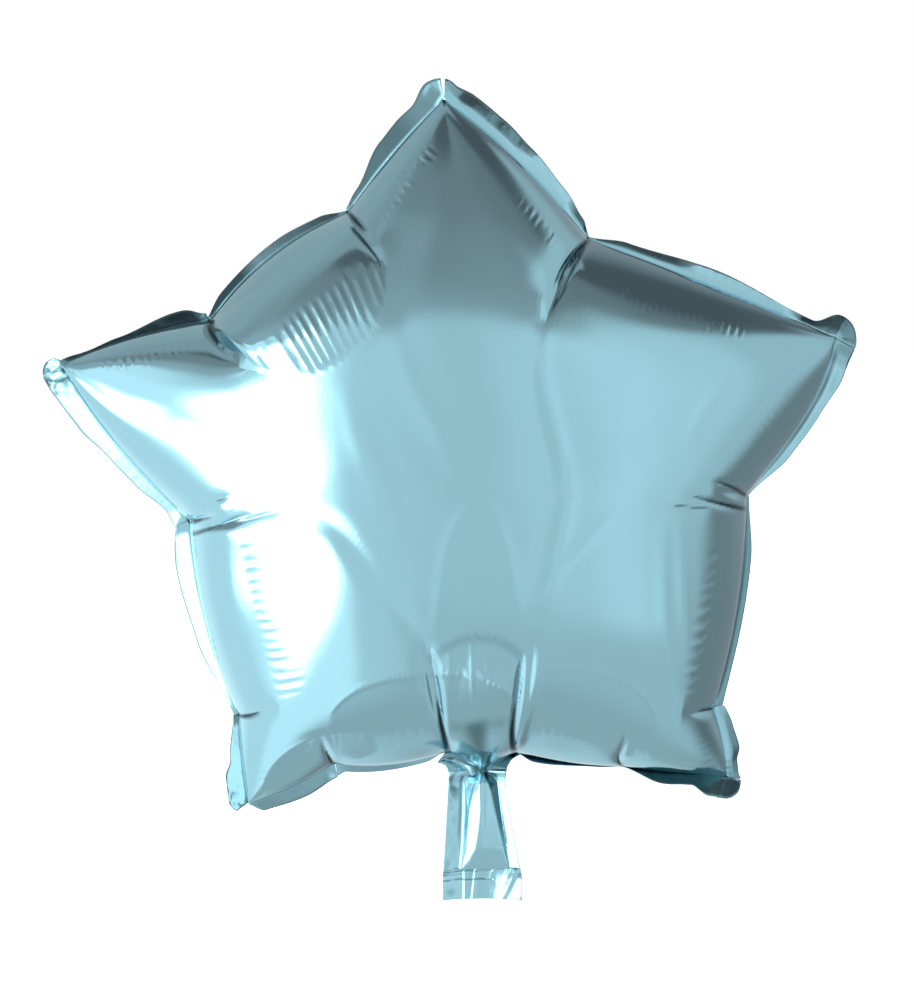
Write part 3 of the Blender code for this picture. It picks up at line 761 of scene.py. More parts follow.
TEXTURE = film_texture_group()
FOIL = foil_material("foil_blue_film", TEXTURE, FILM_COLOUR, (0.11, 0.16), 0.010, 0.0)
SEAL = foil_material("seal_blue_film", TEXTURE, SEAL_COLOUR, (0.15, 0.24), 0.012, 0.10)


# Sealed margins

MARGIN_THICKNESS = 0.25
MARGIN_STEP = 1.0
ACROSS_STEPS = 8
TUCK = 1.2  # how far a margin reaches in between the panels
GAP = 0.02  # left free at a margin's ends
EAR_STEP = math.radians(5)
LEAN_WIDTH = 9.0
INNER_HALF = 0.45  # the share of a margin's reach that leans as its inner half does
FINE_WAVES = 230.0  # of the crinkles, per metre
# How much more than elsewhere the film is crumpled at a tip, and how far from it; the more crumpled tips also
# get patches of painted shade
TIP_CRUMPLE = {"right": (2, 12), "lower_right": (3, 12), "lower_left": (2.5, 12), "left": (9, 17)}


def margin_tree():
    """Geometry nodes that ruffle a flat strip out of its plane and give it the film's thickness."""
    inputs = (
        ("Geometry", "NodeSocketGeometry", None),
        ("Ruffle", "NodeSocketFloat", 0.002),
        ("Wave length", "NodeSocketFloat", 0.03),
        ("Crinkle", "NodeSocketFloat", 0.0003),
        ("Thickness", "NodeSocketFloat", 0.00025),
        ("Seed", "NodeSocketFloat", 1.0),
        ("Material", "NodeSocketMaterial", None),
    )
    outputs = (("Geometry", "NodeSocketGeometry"),)
    tree, given, made = new_group("ruffled_margin", "GeometryNodeTree", inputs, outputs)

    def geometry(kind, inputs, **settings):
        return add_node(tree, "GeometryNode" + kind, inputs, **settings).outputs[0]

    def unevenness(place, spread, detail, height):
        """Noise along the strip, to both sides of 0, that changes across it as it gets looser."""
        spot = {0: place, 1: maths(tree, "MULTIPLY", loose, spread), 2: given["Seed"]}
        value = noise(tree, add_node(tree, "ShaderNodeCombineXYZ", spot).outputs[0], 1.0, detail)
        value = maths(tree, "SUBTRACT", value, 0.5)
        return maths(tree, "MULTIPLY", value, maths(tree, "MULTIPLY", height, 4.0))

    along, loose, crumple = (geometry("InputNamedAttribute", {"Name": mark}, data_type="FLOAT")
                             for mark in ("along", "loose", "crumple"))
    wave = unevenness(maths(tree, "DIVIDE", along, given["Wave length"]), 0.5, 1.0, given["Ruffle"])
    fine = unevenness(maths(tree, "MULTIPLY", along, FINE_WAVES), 2.2, 2.0, given["Crinkle"])
    fine = maths(tree, "MULTIPLY", fine, crumple)
    lift = maths(tree, "MULTIPLY", maths(tree, "ADD", wave, fine), loose)
    offset = add_node(tree, "ShaderNodeCombineXYZ", {1: lift}).outputs[0]
    moved = geometry("SetPosition", {"Geometry": given["Geometry"], "Offset": offset})
    front = geometry("ExtrudeMesh", {"Mesh": moved, "Offset Scale": given["Thickness"], "Individual": False})
    joined = tree.nodes.new("GeometryNodeJoinGeometry")
    for skin in (geometry("FlipFaces", {"Mesh": moved}), front):
        tree.links.new(skin, joined.inputs[0])
    merged = geometry("MergeByDistance", {"Geometry": joined.outputs[0], "Distance": 0.00001})
    real = geometry("RealizeInstances", {"Geometry": merged})
    tree.links.new(geometry("SetMaterial", {"Geometry": real, "Material": given["Material"]}), made[0])
    return tree


def ramp(table, share):
    """A value read from (share, value) pairs, eased between them."""
    for (start, low), (end, high) in zip(table, table[1:]):
        if share <= end:
            along = (share - start) / (end - start)
            return low + (high - low) * along * along * (3 - 2 * along)
    return table[-1][1]


def line_values(table, at):
    return np.interp(at, *zip(*table))


def runs_at(name):
    before = next((run for run in RUNS if run.end == name), None)
    after = next((run for run in RUNS if run.start == name), None)
    return before, after


def ear(name, near, far, share, radii):
    """Points round a tip, part of the way from the near run's normal and radius to the far one's."""
    normals = [outward(corner(run.start), corner(run.end)) for run in (near, far)]
    start, end = (math.atan2(normal[1], normal[0]) for normal in normals)
    turn = (end - start + math.pi) % (2 * math.pi) - math.pi
    steps = round(abs(turn) * share / EAR_STEP)
    points = []
    for step in range(1, steps + 1):
        part = share * step / steps
        angle = start + turn * part
        radius = radii[0] + (radii[1] - radii[0]) * part
        points.append(corner(name) + radius * np.array((math.cos(angle), math.sin(angle))))
    return points


def mitred(point, name, along, sign):
    """Keep a margin's outer edge on its own side of a fold: sign is 1 where the run starts there, else -1."""
    before, after = runs_at(name)
    if name in TIPS or before is None or after is None:
        return point
    across = np.zeros(2)
    for run in (before, after):
        across += (corner(run.end) - corner(run.start)) / np.linalg.norm(corner(run.end) - corner(run.start))
    across = across / np.linalg.norm(across)
    room = sign * ((point - corner(name)) @ across) - GAP / 2
    return point - along * sign * min(0.0, room) / (along @ across)


def margin_edges(run):
    """The inner and outer edge of a sealed margin, point by point."""
    start, end = corner(run.start), corner(run.end)
    length = np.linalg.norm(end - start)
    along = (end - start) / length
    normal = outward(start, end)
    steps = round(length / MARGIN_STEP)
    inner, outer = [], []
    for step in range(steps + 1):
        share = (GAP + (length - 2 * GAP) * step / steps) / length
        from_end = min(share, 1 - share) * length
        point = run_point(run, share)
        inner.append(point - normal * TUCK * min(1.0, from_end / (4 * TUCK)))
        far = mitred(point + normal * ramp(run.widths, share), run.start, along, 1)
        outer.append(mitred(far, run.end, along, -1))
    if run.start in TIPS:
        before = runs_at(run.start)[0]
        radii = run.widths[0][1], before.widths[-1][1]
        added = ear(run.start, run, before, EARS[run.start][1], radii)[::-1]
        inner, outer = [inner[0]] * len(added) + inner, added + outer
    if run.end in TIPS:
        after = runs_at(run.end)[1]
        radii = run.widths[-1][1], after.widths[0][1]
        added = ear(run.end, run, after, EARS[run.end][0], radii)
        inner, outer = inner + [inner[-1]] * len(added), outer + added
    return np.array(inner), np.array(outer)


def build_strip(tree, name, places, travelled, loose, ruffles, seed, crumple=1.0, painted_dark=0.0):
    """A strip of film from rows of places in millimetres, ruffled by how far along and how loose they are."""
    rows, wide, _ = places.shape
    # The strip's painted shade, from 0 to 1, goes into the shade attribute that darkens the seal material
    marks = {"along": travelled[:, None] * MM, "loose": loose, "crumple": crumple, "slit": painted_dark}
    marks = {label: np.broadcast_to(values, (rows, wide)) for label, values in marks.items()}
    faces = grid_quads(np.arange(rows * wide).reshape(rows, wide))
    piece = new_piece(name, places.reshape(-1, 3), faces, marks, STRIP_WELD)
    modifier = piece.modifiers.new("ruffles", "NODES")
    modifier.node_group = tree
    lengths = zip(("Ruffle", "Wave length", "Crinkle", "Thickness"), (*ruffles, MARGIN_THICKNESS))
    values = {"Seed": seed, "Material": SEAL, **{label: length * MM for label, length in lengths}}
    for item in tree.interface.items_tree:
        if item.item_type == "SOCKET" and item.in_out == "INPUT" and item.name in values:
            modifier[item.identifier] = values[item.name]
    made = bpy.data.meshes.new_from_object(piece.evaluated_get(bpy.context.evaluated_depsgraph_get()))
    piece.modifiers.clear()
    piece.data = made
    made.polygons.foreach_set("use_smooth", [True] * len(made.polygons))
    return piece


def build_margin(tree, number, run):
    inner, outer = margin_edges(run)
    shares = np.linspace(0, 1, ACROSS_STEPS + 1)
    flat = ruled(inner, outer, shares)
    travelled = distances(outer)
    width = np.linalg.norm(outer - inner, axis=1)
    reach = np.clip((shares * width[:, None] - TUCK) / LEAN_WIDTH, 0, 1.4)
    share = travelled / travelled[-1]
    stations, *leans = zip(*run.lie)
    inner_lean, outer_lean = (np.interp(share, stations, lean)[:, None] for lean in leans)
    ends = 0.3 + 0.7 * eased(travelled / 8) * eased((travelled[-1] - travelled) / 8)
    middle = INNER_HALF * np.minimum(1, reach.max(axis=1))[:, None]
    lean = inner_lean * np.minimum(reach, middle) + outer_lean * np.maximum(0, reach - middle)
    places = np.stack((flat[..., 0], -MARGIN_THICKNESS / 2 - lean * ends[:, None], flat[..., 1]), axis=-1)
    # Painted shade in speckled patches near the crumpled tips
    speckle = noise_line(flat[..., 0], 1.9, number + 90) + noise_line(flat[..., 1], 1.7, number + 95)
    crumple, crumple_shade = np.ones(reach.shape), np.zeros(reach.shape)
    for tip, (much, near) in TIP_CRUMPLE.items():
        close = np.exp(-((np.linalg.norm(flat - corner(tip), axis=2) / near) ** 4))
        crumple += (much - 1) * close
        crumple_shade = np.maximum(crumple_shade, min(1, (much - 1) / 4) * close * eased(0.15 + 1.1 * speckle))
    # Painted shade on the margin by its table, left off its inner share: a painted reflection of the dim room
    painted_dark = line_values(run.doubled, share)[:, None] * eased((reach + 0.12 - run.light * middle) / 0.16)
    painted_dark = np.maximum(painted_dark, 0.85 * crumple_shade)
    seed = 3.7 * number + 0.5
    return build_strip(tree, run.name, places, travelled, reach, run.ruffles, seed, crumple, painted_dark)


# Filling neck. Its places are given by how far down from the gather they are, how far across to the right of
# its middle line, and how far forward of the seam's plane.
NECK_LEAN = math.radians(-3.1)
NECK_LENGTH = 54.0
NECK_TUCK = 2.4  # how far the tube reaches up into the mouth
NECK_BEND = 12.0  # a length down the neck from the gather, where bend_end is put; nothing bends the films
END_SEAL = 16.0
NECK_ROW = 0.6  # length of one row
SEAL_ROW = 0.4
TUBE_COLUMNS = 56
TUBE_RIM = 0.15  # the forward lift of the tube's edges
TUBE_FILM = 0.35  # from the tube's shown side to its inner one
TUBE_INNER = 0.94  # the inner side's width as a share of the shown one's
INNER_RIM = 0.05  # the forward lift of the inner side's edges
BACK_LIFT = 0.85  # of the tube's back film, as a share of the front one's
MARGIN_COLUMNS, SEAL_COLUMNS = 15, 108
WEB_ROWS, WEB_COLUMNS = 41, 21
# The tube's folds by how far down: its left edge, left shoulder, ridge, right shoulder and right edge, across
TUBE_DOWN = (0.6, 3, 6, 10, 20, 31, 42, 50, 53.8)
TUBE_ACROSS = (
    (-4.5, -8, -9.1, -9.2, -9.2, -9.6, -10, -10.9, -11.3),
    (-3, -3.4, -4.4, -5.4, -7.5, -8.1, -8.9, -10.4, -11.2),
    (-1.2, -1.2, -1.5, -1.7, -1.1, -1.9, -3.7, -7.5, -10.8),
    (0.8, 1.4, 2.6, 4.2, 6.4, 9, 11.8, 13.6, 14.4),
    (3, 6, 8.1, 8.6, 9.8, 11.4, 13.2, 14.6, 15.2),
)
# and the forward lift of the two shoulders and the ridge
TUBE_LIFT = (
    (1.6, 3.6, 4.4, 4.6, 3.2, 2.8, 1.9, 0.8, 0.2),
    (2, 4.6, 6.4, 7.2, 7, 6.2, 4.8, 2, 0.3),
    (1.8, 4, 5.4, 5.8, 5, 4.2, 3.2, 1.4, 0.25),
)
# The margins' outer edges, across, by how far down they are
EDGE_LEFT = ((0, -18.3), (10, -18.7), (27, -19.7), (54, -21.2), (70, -21.5))
EDGE_RIGHT = ((0, 12.8), (3, 12.5), (9, 12.2), (27, 15.4), (49, 19.8), (56, 21.4), (70, 21.4))
# The left margin's flap, forward by how wide it has got, and the end seal's waves, forward by how far across
LEFT_FLAP = ((0, 0), (0.6, 0), (2, -0.75), (2.5, -0.8), (11, 2.6))
SEAL_WAVES = ((-21.5, 2.8), (-10.5, -0.7), (-9, 0.2), (-7.8, -0.6), (1, -0.9), (4, -0.6), (21.5, 4.8))
SEAL_HEMS = ((0.9, 0.42), (2.4, 0.3), (5.3, 0.42))  # wrinkles across the seal: how far down it, and how deep


def neck_places(down, across, forward):
    """Places of the neck in millimetres of the star's own frame."""
    down, across, forward = np.broadcast_arrays(down, across, forward)
    lean_x, lean_z = math.sin(NECK_LEAN), math.cos(NECK_LEAN)
    x, z = CORNERS["gather"]
    places = (x + across * lean_z + down * lean_x, -forward, z + across * lean_x - down * lean_z)
    return np.stack(places, axis=-1)


def smoothed(grid, rounds):
    for _ in range(rounds):
        grid[1:-1] = grid[1:-1] / 2 + (grid[:-2] + grid[2:]) / 4
    return grid


def tube_half(name, side, seed):
    """One film of the tube: folds that run down from the gather, closed by a plain inner side."""
    down = np.arange(-NECK_TUCK, NECK_LENGTH + 0.5, NECK_ROW)
    folds = np.array([np.interp(down, TUBE_DOWN, table) for table in TUBE_ACROSS])
    rim = np.full(len(down), TUBE_RIM)
    lifts = np.array([rim, *(np.interp(down, TUBE_DOWN, table) for table in TUBE_LIFT), rim])
    if side > 0:
        lifts = lifts * BACK_LIFT
    across = ruled(folds[0], folds[4], (1 - np.cos(np.linspace(0, math.pi, TUBE_COLUMNS + 1))) / 2)
    forward = np.array([np.interp(*row) for row in zip(across, folds.T, lifts.T)])
    forward = smoothed(smoothed(forward.T, 5).T, 4)
    down = down[:, None]
    drape = 0.16 * noise_line(across + 0.1 * down, 2.2, seed) * noise_line(down, 14.0, seed + 1)
    fold = 0.35 * bell(across - 0.2 - 0.01 * down, 0.6) * window(down, 2, 34, 4, 10)
    nick = 0.5 * bell(down - 41 - 0.5 * (across - 11), 0.7) * window(across, 9, 13, 1, 1)
    forward = np.maximum(forward - (fold + nick - drape) * np.minimum(1, forward / 1.5), TUBE_RIM)
    middle = (folds[0] + folds[4])[:, None] / 2
    outer = neck_places(down, across, -side * forward)
    narrowed = middle + (across - middle) * TUBE_INNER
    inner = neck_places(down, narrowed, -side * np.maximum(INNER_RIM, forward - TUBE_FILM))
    # Painted shade: the tube's right side, a line along its left shoulder and its top rows under the mouth
    # are darkened in its colour
    painted_dark = 0.62 * eased((across - folds[3][:, None]) / 1.2 + 0.3) * eased((44 - down) / 20)
    painted_dark = np.maximum(painted_dark, 0.5 * eased(1 - np.abs(across - folds[1][:, None]) / 0.7))
    painted_dark = np.maximum(painted_dark, 0.8 * eased((4.0 - down) / 4.0))
    return closed_sheet(name, outer, inner, painted_dark)


def closed_sheet(name, outer, inner, painted_dark):
    """Two skins of the same rows and columns, joined along their edges into one closed body."""
    front = np.arange(painted_dark.size).reshape(painted_dark.shape)
    rim = np.concatenate((front[0, :-1], front[:-1, -1], front[-1, :0:-1], front[:0:-1, 0]))
    after = np.roll(rim, -1)
    walls = np.stack((rim, after, after + painted_dark.size, rim + painted_dark.size), axis=-1)
    faces = np.concatenate((grid_quads(front), grid_quads(front + painted_dark.size)[:, ::-1], walls))
    places = np.concatenate((outer.reshape(-1, 3), inner.reshape(-1, 3)))
    # The painted shade goes on the shown skin only
    shade_values = np.concatenate((painted_dark.ravel(), np.zeros(painted_dark.size)))
    return new_piece(name, places, faces, {"slit": shade_values}, FILM_WELD, FOIL)


def neck_margin(tree, side, edge, tube, seed):
    """A sealed margin of the tube: on the left a lit strip beside the tube and then a flap turned forward."""
    left = side == "left"
    travelled = np.arange(-0.4, NECK_LENGTH + 0.3, NECK_ROW)
    inner = np.interp(travelled, TUBE_DOWN, tube) + (0.6 if left else -0.6)
    across = ruled(inner, line_values(edge, travelled), np.linspace(0, 1, MARGIN_COLUMNS))
    width = np.abs(across - inner[:, None])
    down = travelled[:, None]
    if left:
        crumple = 1.1 * noise_line(width, 2.4, 71) + 0.8 * noise_line(down, 3.1, 72)
        crumple = window(down, -5, 16, 1, 16) * crumple * np.minimum(1, width / 3)
        rise = line_values(LEFT_FLAP, width) + crumple
        # Painted shade: patches on the flap near the mouth, and a line beside the lit strip
        patches = noise_line(width + 0.3 * down, 2.6, 74) + noise_line(down, 3.4, 75)
        painted_dark = 0.85 * eased(0.35 + 0.8 * patches) * eased((22 - down) / 18) * (width > 2.6)
        painted_dark = np.maximum(painted_dark, 0.5 * eased(1.2 - np.abs(width - 3.2)) * eased((46 - down) / 16))
    else:
        rise = 0.42 * np.maximum(0, width - 0.6) * (1.0 + 0.12 * noise_line(down, 17, 73))
        # Painted shade near the mouth
        painted_dark = 0.25 * eased((12 - down) / 10)
    places = neck_places(down, across, MARGIN_THICKNESS / 2 + rise)
    if not left:
        places, width = places[:, ::-1], width[:, ::-1]
    loose = np.clip((width - 1) / 9, 0, 1)
    ruffles = (0.7, 24.0, 0.35) if left else (0.3, 24.0, 0.1)
    name = f"neck_margin_{side}"
    return build_strip(tree, name, places[::-1], travelled, loose[::-1], ruffles, seed, painted_dark=painted_dark[::-1])


def end_seal(tree):
    """The flat sealed end: hem wrinkles across it, a fold down its left part and crumples on its right."""
    down = np.arange(NECK_LENGTH - 0.8, NECK_LENGTH + END_SEAL + 0.3, SEAL_ROW)
    shares = np.linspace(0, 1, SEAL_COLUMNS)
    across = ruled(line_values(EDGE_LEFT, down), line_values(EDGE_RIGHT, down), shares)
    travelled = down - NECK_LENGTH
    deep = travelled[:, None]
    rise = line_values(SEAL_WAVES, across) * np.clip(0.5 + deep / 9, 0.4, 1)
    # Painted shade: a soft spot on the left part and broken lines along the hem wrinkles
    painted_dark = 0.35 * np.exp(-(((across + 17) / 2.6) ** 2) - ((deep - 12) / 2.2) ** 2)
    for line, strength in SEAL_HEMS:
        apart = deep - line - 0.5 * noise_line(across, 6.5, int(line * 10))
        rise = rise - strength * bell(apart, 0.45) * (across < 6)
        broken = eased(0.5 + 1.4 * noise_line(across, 4.0, int(line * 30)))
        painted_dark = np.maximum(painted_dark, 0.8 * broken * bell(apart, 0.32) * (across < 2))
    crumple = noise_line(across + 0.45 * deep, 3.0, 31) * noise_line(deep - 0.3 * across, 4.5, 32)
    rise = rise + 1.5 * crumple * eased((across - 3) / 5) + 0.6 * bell(across + 3.2 + 0.1 * deep, 0.8)
    places = neck_places(down[:, None], across, MARGIN_THICKNESS / 2 + rise)
    ruffles = (0.2, 18.0, 0.55)
    return build_strip(tree, "neck_end_seal", places[::-1], travelled, 0.35, ruffles, 9.1, painted_dark=painted_dark[::-1])


# The webs' outer edges, from beside the star's margin to the neck's, as (across, down) of a curve's points
WEBS = {
    "right": ((25, -9.2), (13.4, -8.8), (12.6, 2.4)),
    "left": ((-24.5, -4.4), (-18.6, -4.8), (-18.3, 2.4)),
}


def gather_web(tree, side, seed):
    """The corner of film between the mouth and a margin of the neck, twisted as the gather pulls it."""
    right = side == "right"
    first, middle, last = (neck_places(down, across, 0.0)[[0, 2]] for across, down in WEBS[side])
    sign = 1.0 if right else -1.0
    tucked = np.array((-0.5 * sign, 1.3))  # into the star, between its films
    top, gather = corner(f"fold_neck_{side}"), corner("gather")
    low = neck_places(2.4, sign, 0.0)[[0, 2]]
    path = (top + 0.3 * tucked, (2 * top + gather) / 3 + tucked, (top + 5 * gather) / 6 + tucked, low)
    steps = np.linspace(0, 1, WEB_ROWS)
    inner = np.stack([np.interp(steps, (0, 0.33, 0.85, 1), axis) for axis in zip(*path)], axis=-1)
    part = steps[:, None]
    outer = (1 - part) ** 2 * first + 2 * (part * (1 - part)) * middle + part**2 * last
    reach = np.linspace(0, 1, WEB_COLUMNS)
    flat = ruled(inner, outer, reach)
    fan = np.sin(math.pi * reach)
    if right:
        rise = 2.2 * part**1.5 * (0.1 + 1.3 * reach) - 1.6 * fan * (1 - part)
        rise = rise - (rise + 0.4) * eased((part - 0.82) / 0.18)
        # Painted shade over the whole right web
        painted_dark = 0.6
    else:
        rise = 1.4 * part + 1.1 * noise_line(reach * 9 + 3 * part, 2.1, 51)
        rise = rise + 0.9 * noise_line(part * 13, 2.4, 52) * fan
    places = np.stack((flat[..., 0], -MARGIN_THICKNESS / 2 - rise - 0.1, flat[..., 1]), axis=-1)
    if not right:
        places, reach = places[:, ::-1], reach[::-1]
        # Painted shade in patches over the left web, more towards the neck
        patches = eased(0.5 + 1.2 * noise_line(reach * 7 + 4 * part, 2.0, 53))
        painted_dark = 0.3 + 0.55 * patches * part**0.5
    ruffles = (0.4, 9.0, 0.5)
    return build_strip(tree, f"gather_web_{side}", places, steps * 14, 0.6 * reach, ruffles, seed, painted_dark=painted_dark)


# Studio

CAMERA_DISTANCE = 2.4
CAMERA_ELEVATION = math.radians(6)
CAMERA_AZIMUTH = math.radians(-4)
CAMERA_ROLL = math.radians(2.9)  # the balloon shows turned this far anticlockwise
LENS = 161.5
SHIFT = (-0.0056, -0.024)

# The room that the film mirrors, by azimuth and elevation in degrees. In each table a row lies over those
# before it: it blends to its value, or adds it, inside the edges that follow, each from where to where it
# comes in. A base goes from one value to another instead.
AZ, EL = "azimuth", "elevation"
CEILING_BASE = (AZ, -64, -8, 0.50, 0.34)
CEILING = (
    ("to", 0.29, (AZ, 30, 62)),
    ("to", 0.145, (AZ, 66, 84)),
    ("to", 0.36, (AZ, 122, 160)),
    ("to", 0.58, (AZ, -98, -122)),
    ("add", 0.14, (AZ, -95, -75), (AZ, -2, -24), (EL, 56, 48)),
    ("to", 0.37, (AZ, -95, -75), (AZ, -2, -24), (EL, 50, 56), (EL, 68, 64)),
    ("to", 0.17, (AZ, -95, -75), (AZ, 20, 0), (EL, 64, 69)),
    ("to", 0.52, (AZ, 98, 108), (EL, 58, 66)),
    ("to", 0.52, (AZ, -110, -125), (EL, 58, 66)),
    ("add", 0.16, (EL, 54, 32), (AZ, -30, -15), (AZ, 60, 30)),
)
WALL_BASE = (AZ, -11, -3, 0.98, 0.88)
WALL = (
    ("to", 0.97, (AZ, 8, 16)),
    ("to", 1.08, (AZ, 25, 33)),
    ("to", 0.97, (AZ, 41, 50)),
    ("to", 0.80, (AZ, 54, 66)),
    ("to", 0.67, (AZ, 92, 112)),
    ("to", 0.45, (AZ, 118, 140)),
    ("to", 0.80, (EL, -27, -38), (AZ, -11, -3)),
    ("to", 0.34, (AZ, 72, 92), (EL, 2, -16)),
    ("to", 0.66, (EL, -50, -76)),
    ("to", 1.0, (AZ, -14, -30), (EL, -62, -40)),
    ("to", 1.16, (AZ, -62, -72), (EL, -70, -58)),
    ("to", 1.32, (AZ, -112, -140), (EL, -42, -28)),
    ("to", 0.42, (AZ, -70, -86), (EL, -6, 12)),
    ("to", 0.9, (AZ, -160, -180)),
    ("to", 0.9, (AZ, 150, 180)),
)
# The elevation at which the wall ends
TOP_BASE = (AZ, 28, 52, 31.0, 42.0)
TOP = (
    ("to", 6.0, (AZ, 118, 172)),
    ("to", 42.0, (AZ, -26, -48)),
    ("to", 20.0, (AZ, -56, -70)),
    ("to", 2.0, (AZ, -120, -170)),
)
# The soft box's pale surround: its value, its edges, and two edges of which it keeps the further one
SURROUND = 1.42
SURROUND_EDGES = ((AZ, -84, -74), (AZ, -22, -28), (EL, -68, -54))
SURROUND_TOP = ((EL, 38, 25), (AZ, -48, -58))
# The soft box as overlapping ovals: middle azimuth and elevation, half width, half height, how far each leans
SOFT_BOX = (
    (-38.2, 8, 10.9, 20.5, -0.06),
    (-47, -22, 18, 16, 0.5),
    (-68, -15, 20, 8, 0),
    (-61.5, -4, 4.3, 12, 0.35),
    (-50, -9, 6.5, 9.5, 0),
)
BOX_LIGHT = 3.6
BOX_EDGE = (1.25, 0.80)  # from outside to inside an oval, as the square of the share of its half width
WALL_EDGE = (-2.5, 3.0)  # over which the wall gives way to the ceiling, in degrees past its top
DIM_TINT, BRIGHT_TINT = (1.02, 0.99, 1.01, 1.0), (0.91, 1.01, 1.04, 1.0)
TINT_RANGE = (0.2, 0.9)  # from the dim tint's light to the bright one's
WHITE = (1.0, 1.0, 1.0, 1.0)
FLOOR_DROP, FLOOR_REACH = 1.1, 14.0
FLOOR_COLOUR = (0.95, 0.95, 0.95, 1.0)
LAMP_ANGLE, LAMP_STRENGTH, LAMP_HEIGHT = math.radians(40), 3.2, 4.0


def add_camera():
    back = Vector((math.sin(CAMERA_AZIMUTH) * math.cos(CAMERA_ELEVATION),
                   -math.cos(CAMERA_AZIMUTH) * math.cos(CAMERA_ELEVATION), math.sin(CAMERA_ELEVATION)))
    right = (-back).cross(Vector((0, 0, 1))).normalized()
    up = right.cross(-back)
    c, s = math.cos(CAMERA_ROLL), math.sin(CAMERA_ROLL)
    turn = Matrix((c * right - s * up, s * right + c * up, back)).transposed()
    data = bpy.data.cameras.new("camera")
    data.lens = LENS
    data.sensor_width = 36
    data.shift_x, data.shift_y = SHIFT
    camera = bpy.data.objects.new("camera", data)
    camera.matrix_world = Matrix.Translation(back * CAMERA_DISTANCE) @ turn.to_4x4()
    bpy.context.scene.collection.objects.link(camera)
    bpy.context.scene.camera = camera


def light_the_studio():
    """The room that the film mirrors: a bright wall in front, a soft box on the left, a dimmer ceiling."""
    world = bpy.data.worlds.new("studio")
    bpy.context.scene.world = world
    world.use_nodes = True
    tree = world.node_tree
    tree.nodes.clear()

    def math_node(operation, *values):
        return maths(tree, operation, *values)

    def edge(axis, low, high, *values):
        return stepped(tree, axes[axis], low, high, *values)

    def blended(under, over, mask):
        """under where the mask is 0 and over where it is 1."""
        return math_node("MULTIPLY_ADD", math_node("SUBTRACT", over, under), mask, under)

    def inside(edges):
        mask = edge(*edges[0])
        for further in edges[1:]:
            mask = math_node("MULTIPLY", mask, edge(*further))
        return mask

    def layered(base, rows):
        value = edge(*base)
        for kind, over, *edges in rows:
            if kind == "add":
                value = math_node("MULTIPLY_ADD", inside(edges), over, value)
            else:
                value = blended(value, over, inside(edges))
        return value

    def oval(middle_azimuth, middle_elevation, half_wide, half_high, lean):
        up = math_node("SUBTRACT", axes[EL], middle_elevation)
        across = math_node("SUBTRACT", axes[AZ], middle_azimuth)
        across = math_node("SUBTRACT", across, math_node("MULTIPLY", up, lean))
        x_share, y_share = math_node("DIVIDE", across, half_wide), math_node("DIVIDE", up, half_high)
        squares = math_node("MULTIPLY_ADD", x_share, x_share, math_node("MULTIPLY", y_share, y_share))
        return stepped(tree, squares, *BOX_EDGE)

    direction = tree.nodes.new("ShaderNodeTexCoord").outputs["Generated"]
    x, y, z = add_node(tree, "ShaderNodeSeparateXYZ", {0: direction}).outputs
    degrees = 180 / math.pi
    axes = {AZ: math_node("MULTIPLY", math_node("ARCTAN2", x, math_node("MULTIPLY", y, -1.0)), degrees),
            EL: math_node("MULTIPLY", math_node("ARCSINE", z), degrees)}
    further = math_node("MAXIMUM", *(edge(*row) for row in SURROUND_TOP))
    surround = math_node("MULTIPLY", inside(SURROUND_EDGES), further)
    wall = blended(layered(WALL_BASE, WALL), SURROUND, surround)
    above = math_node("SUBTRACT", axes[EL], layered(TOP_BASE, TOP))
    glow = blended(wall, layered(CEILING_BASE, CEILING), stepped(tree, above, *WALL_EDGE))
    box = oval(*SOFT_BOX[0])
    for shape in SOFT_BOX[1:]:
        box = math_node("MAXIMUM", box, oval(*shape))
    glow = blended(glow, BOX_LIGHT, box)
    seen = add_node(tree, "ShaderNodeLightPath").outputs["Is Camera Ray"]
    glow = blended(glow, 1.0, seen)
    tint = colour_mix(tree, stepped(tree, glow, *TINT_RANGE), DIM_TINT, BRIGHT_TINT)
    plain = colour_mix(tree, seen, tint, WHITE)
    background = add_node(tree, "ShaderNodeBackground", {"Strength": glow, "Color": plain})
    tree.links.new(background.outputs[0], tree.nodes.new("ShaderNodeOutputWorld").inputs[0])


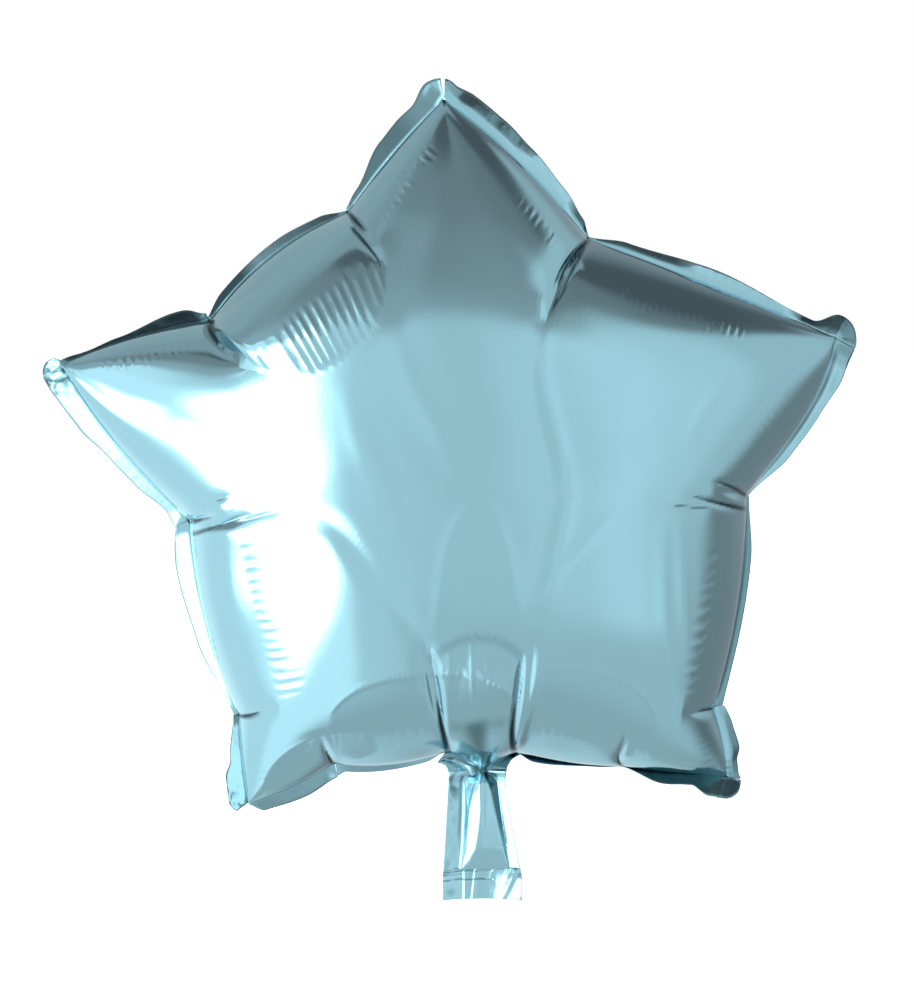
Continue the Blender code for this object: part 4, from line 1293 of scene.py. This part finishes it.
def lay_floor():
    mesh = bpy.data.meshes.new("floor")
    spots = [(x * FLOOR_REACH, y * FLOOR_REACH, -FLOOR_DROP) for x, y in ((-1, -1), (1, -1), (1, 1), (-1, 1))]
    mesh.from_pydata(spots, [], [(0, 1, 2, 3)])
    material = bpy.data.materials.new("pale_floor")
    material.use_nodes = True
    shader = material.node_tree.nodes["Principled BSDF"].inputs
    shader["Base Color"].default_value = FLOOR_COLOUR
    shader["Roughness"].default_value = 1.0
    shader["Specular IOR Level"].default_value = 0.0
    mesh.materials.append(material)
    floor = bpy.data.objects.new("floor", mesh)
    lamp = bpy.data.lights.new("overhead", "SUN")
    lamp.angle = LAMP_ANGLE
    lamp.energy = LAMP_STRENGTH
    overhead = bpy.data.objects.new("overhead", lamp)
    overhead.location = (0, 0, LAMP_HEIGHT)
    for thing in (floor, overhead):
        bpy.context.scene.collection.objects.link(thing)
        thing.visible_glossy = False


def slot_of(node):
    """A CAD node's material slot: the panels and the tube are plain film, the rest is sealed."""
    return "foil_blue" if node.startswith("panel") or node in ("neck_front", "neck_back") else "seal_blue"


def main():
    film = film_plan()
    tree = margin_tree()
    still = [build_panel("panel_front", -1, film, 11), build_panel("panel_back", 1, film, 23)]
    still += [build_margin(tree, number, run) for number, run in enumerate(RUNS)]
    still += [gather_web(tree, "right", 61.3), gather_web(tree, "left", 64.9)]
    bending = [tube_half("neck_front", -1, 81), tube_half("neck_back", 1, 91),
               neck_margin(tree, "left", EDGE_LEFT, TUBE_ACROSS[0], 71.7),
               neck_margin(tree, "right", EDGE_RIGHT, TUBE_ACROSS[4], 77.7)]
    seal = end_seal(tree)
    for piece in still:
        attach(piece, "envelope")
    bend_start, bend_end = (Vector(neck_places(down, 0.0, 0.0) * MM) for down in (0.0, NECK_BEND))
    for piece in bending:
        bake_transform(piece)
    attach(seal, "neck")
    for piece in (*still, *bending, seal):
        node = piece.name.removesuffix(FILM)
        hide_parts(node)
    for name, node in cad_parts.items():
        node.data.materials.clear()
        node.data.materials.append(FOIL if slot_of(name) == "foil_blue" else SEAL)
    add_camera()
    light_the_studio()
    lay_floor()
    bpy.context.scene.view_settings.view_transform = "Standard"


main()
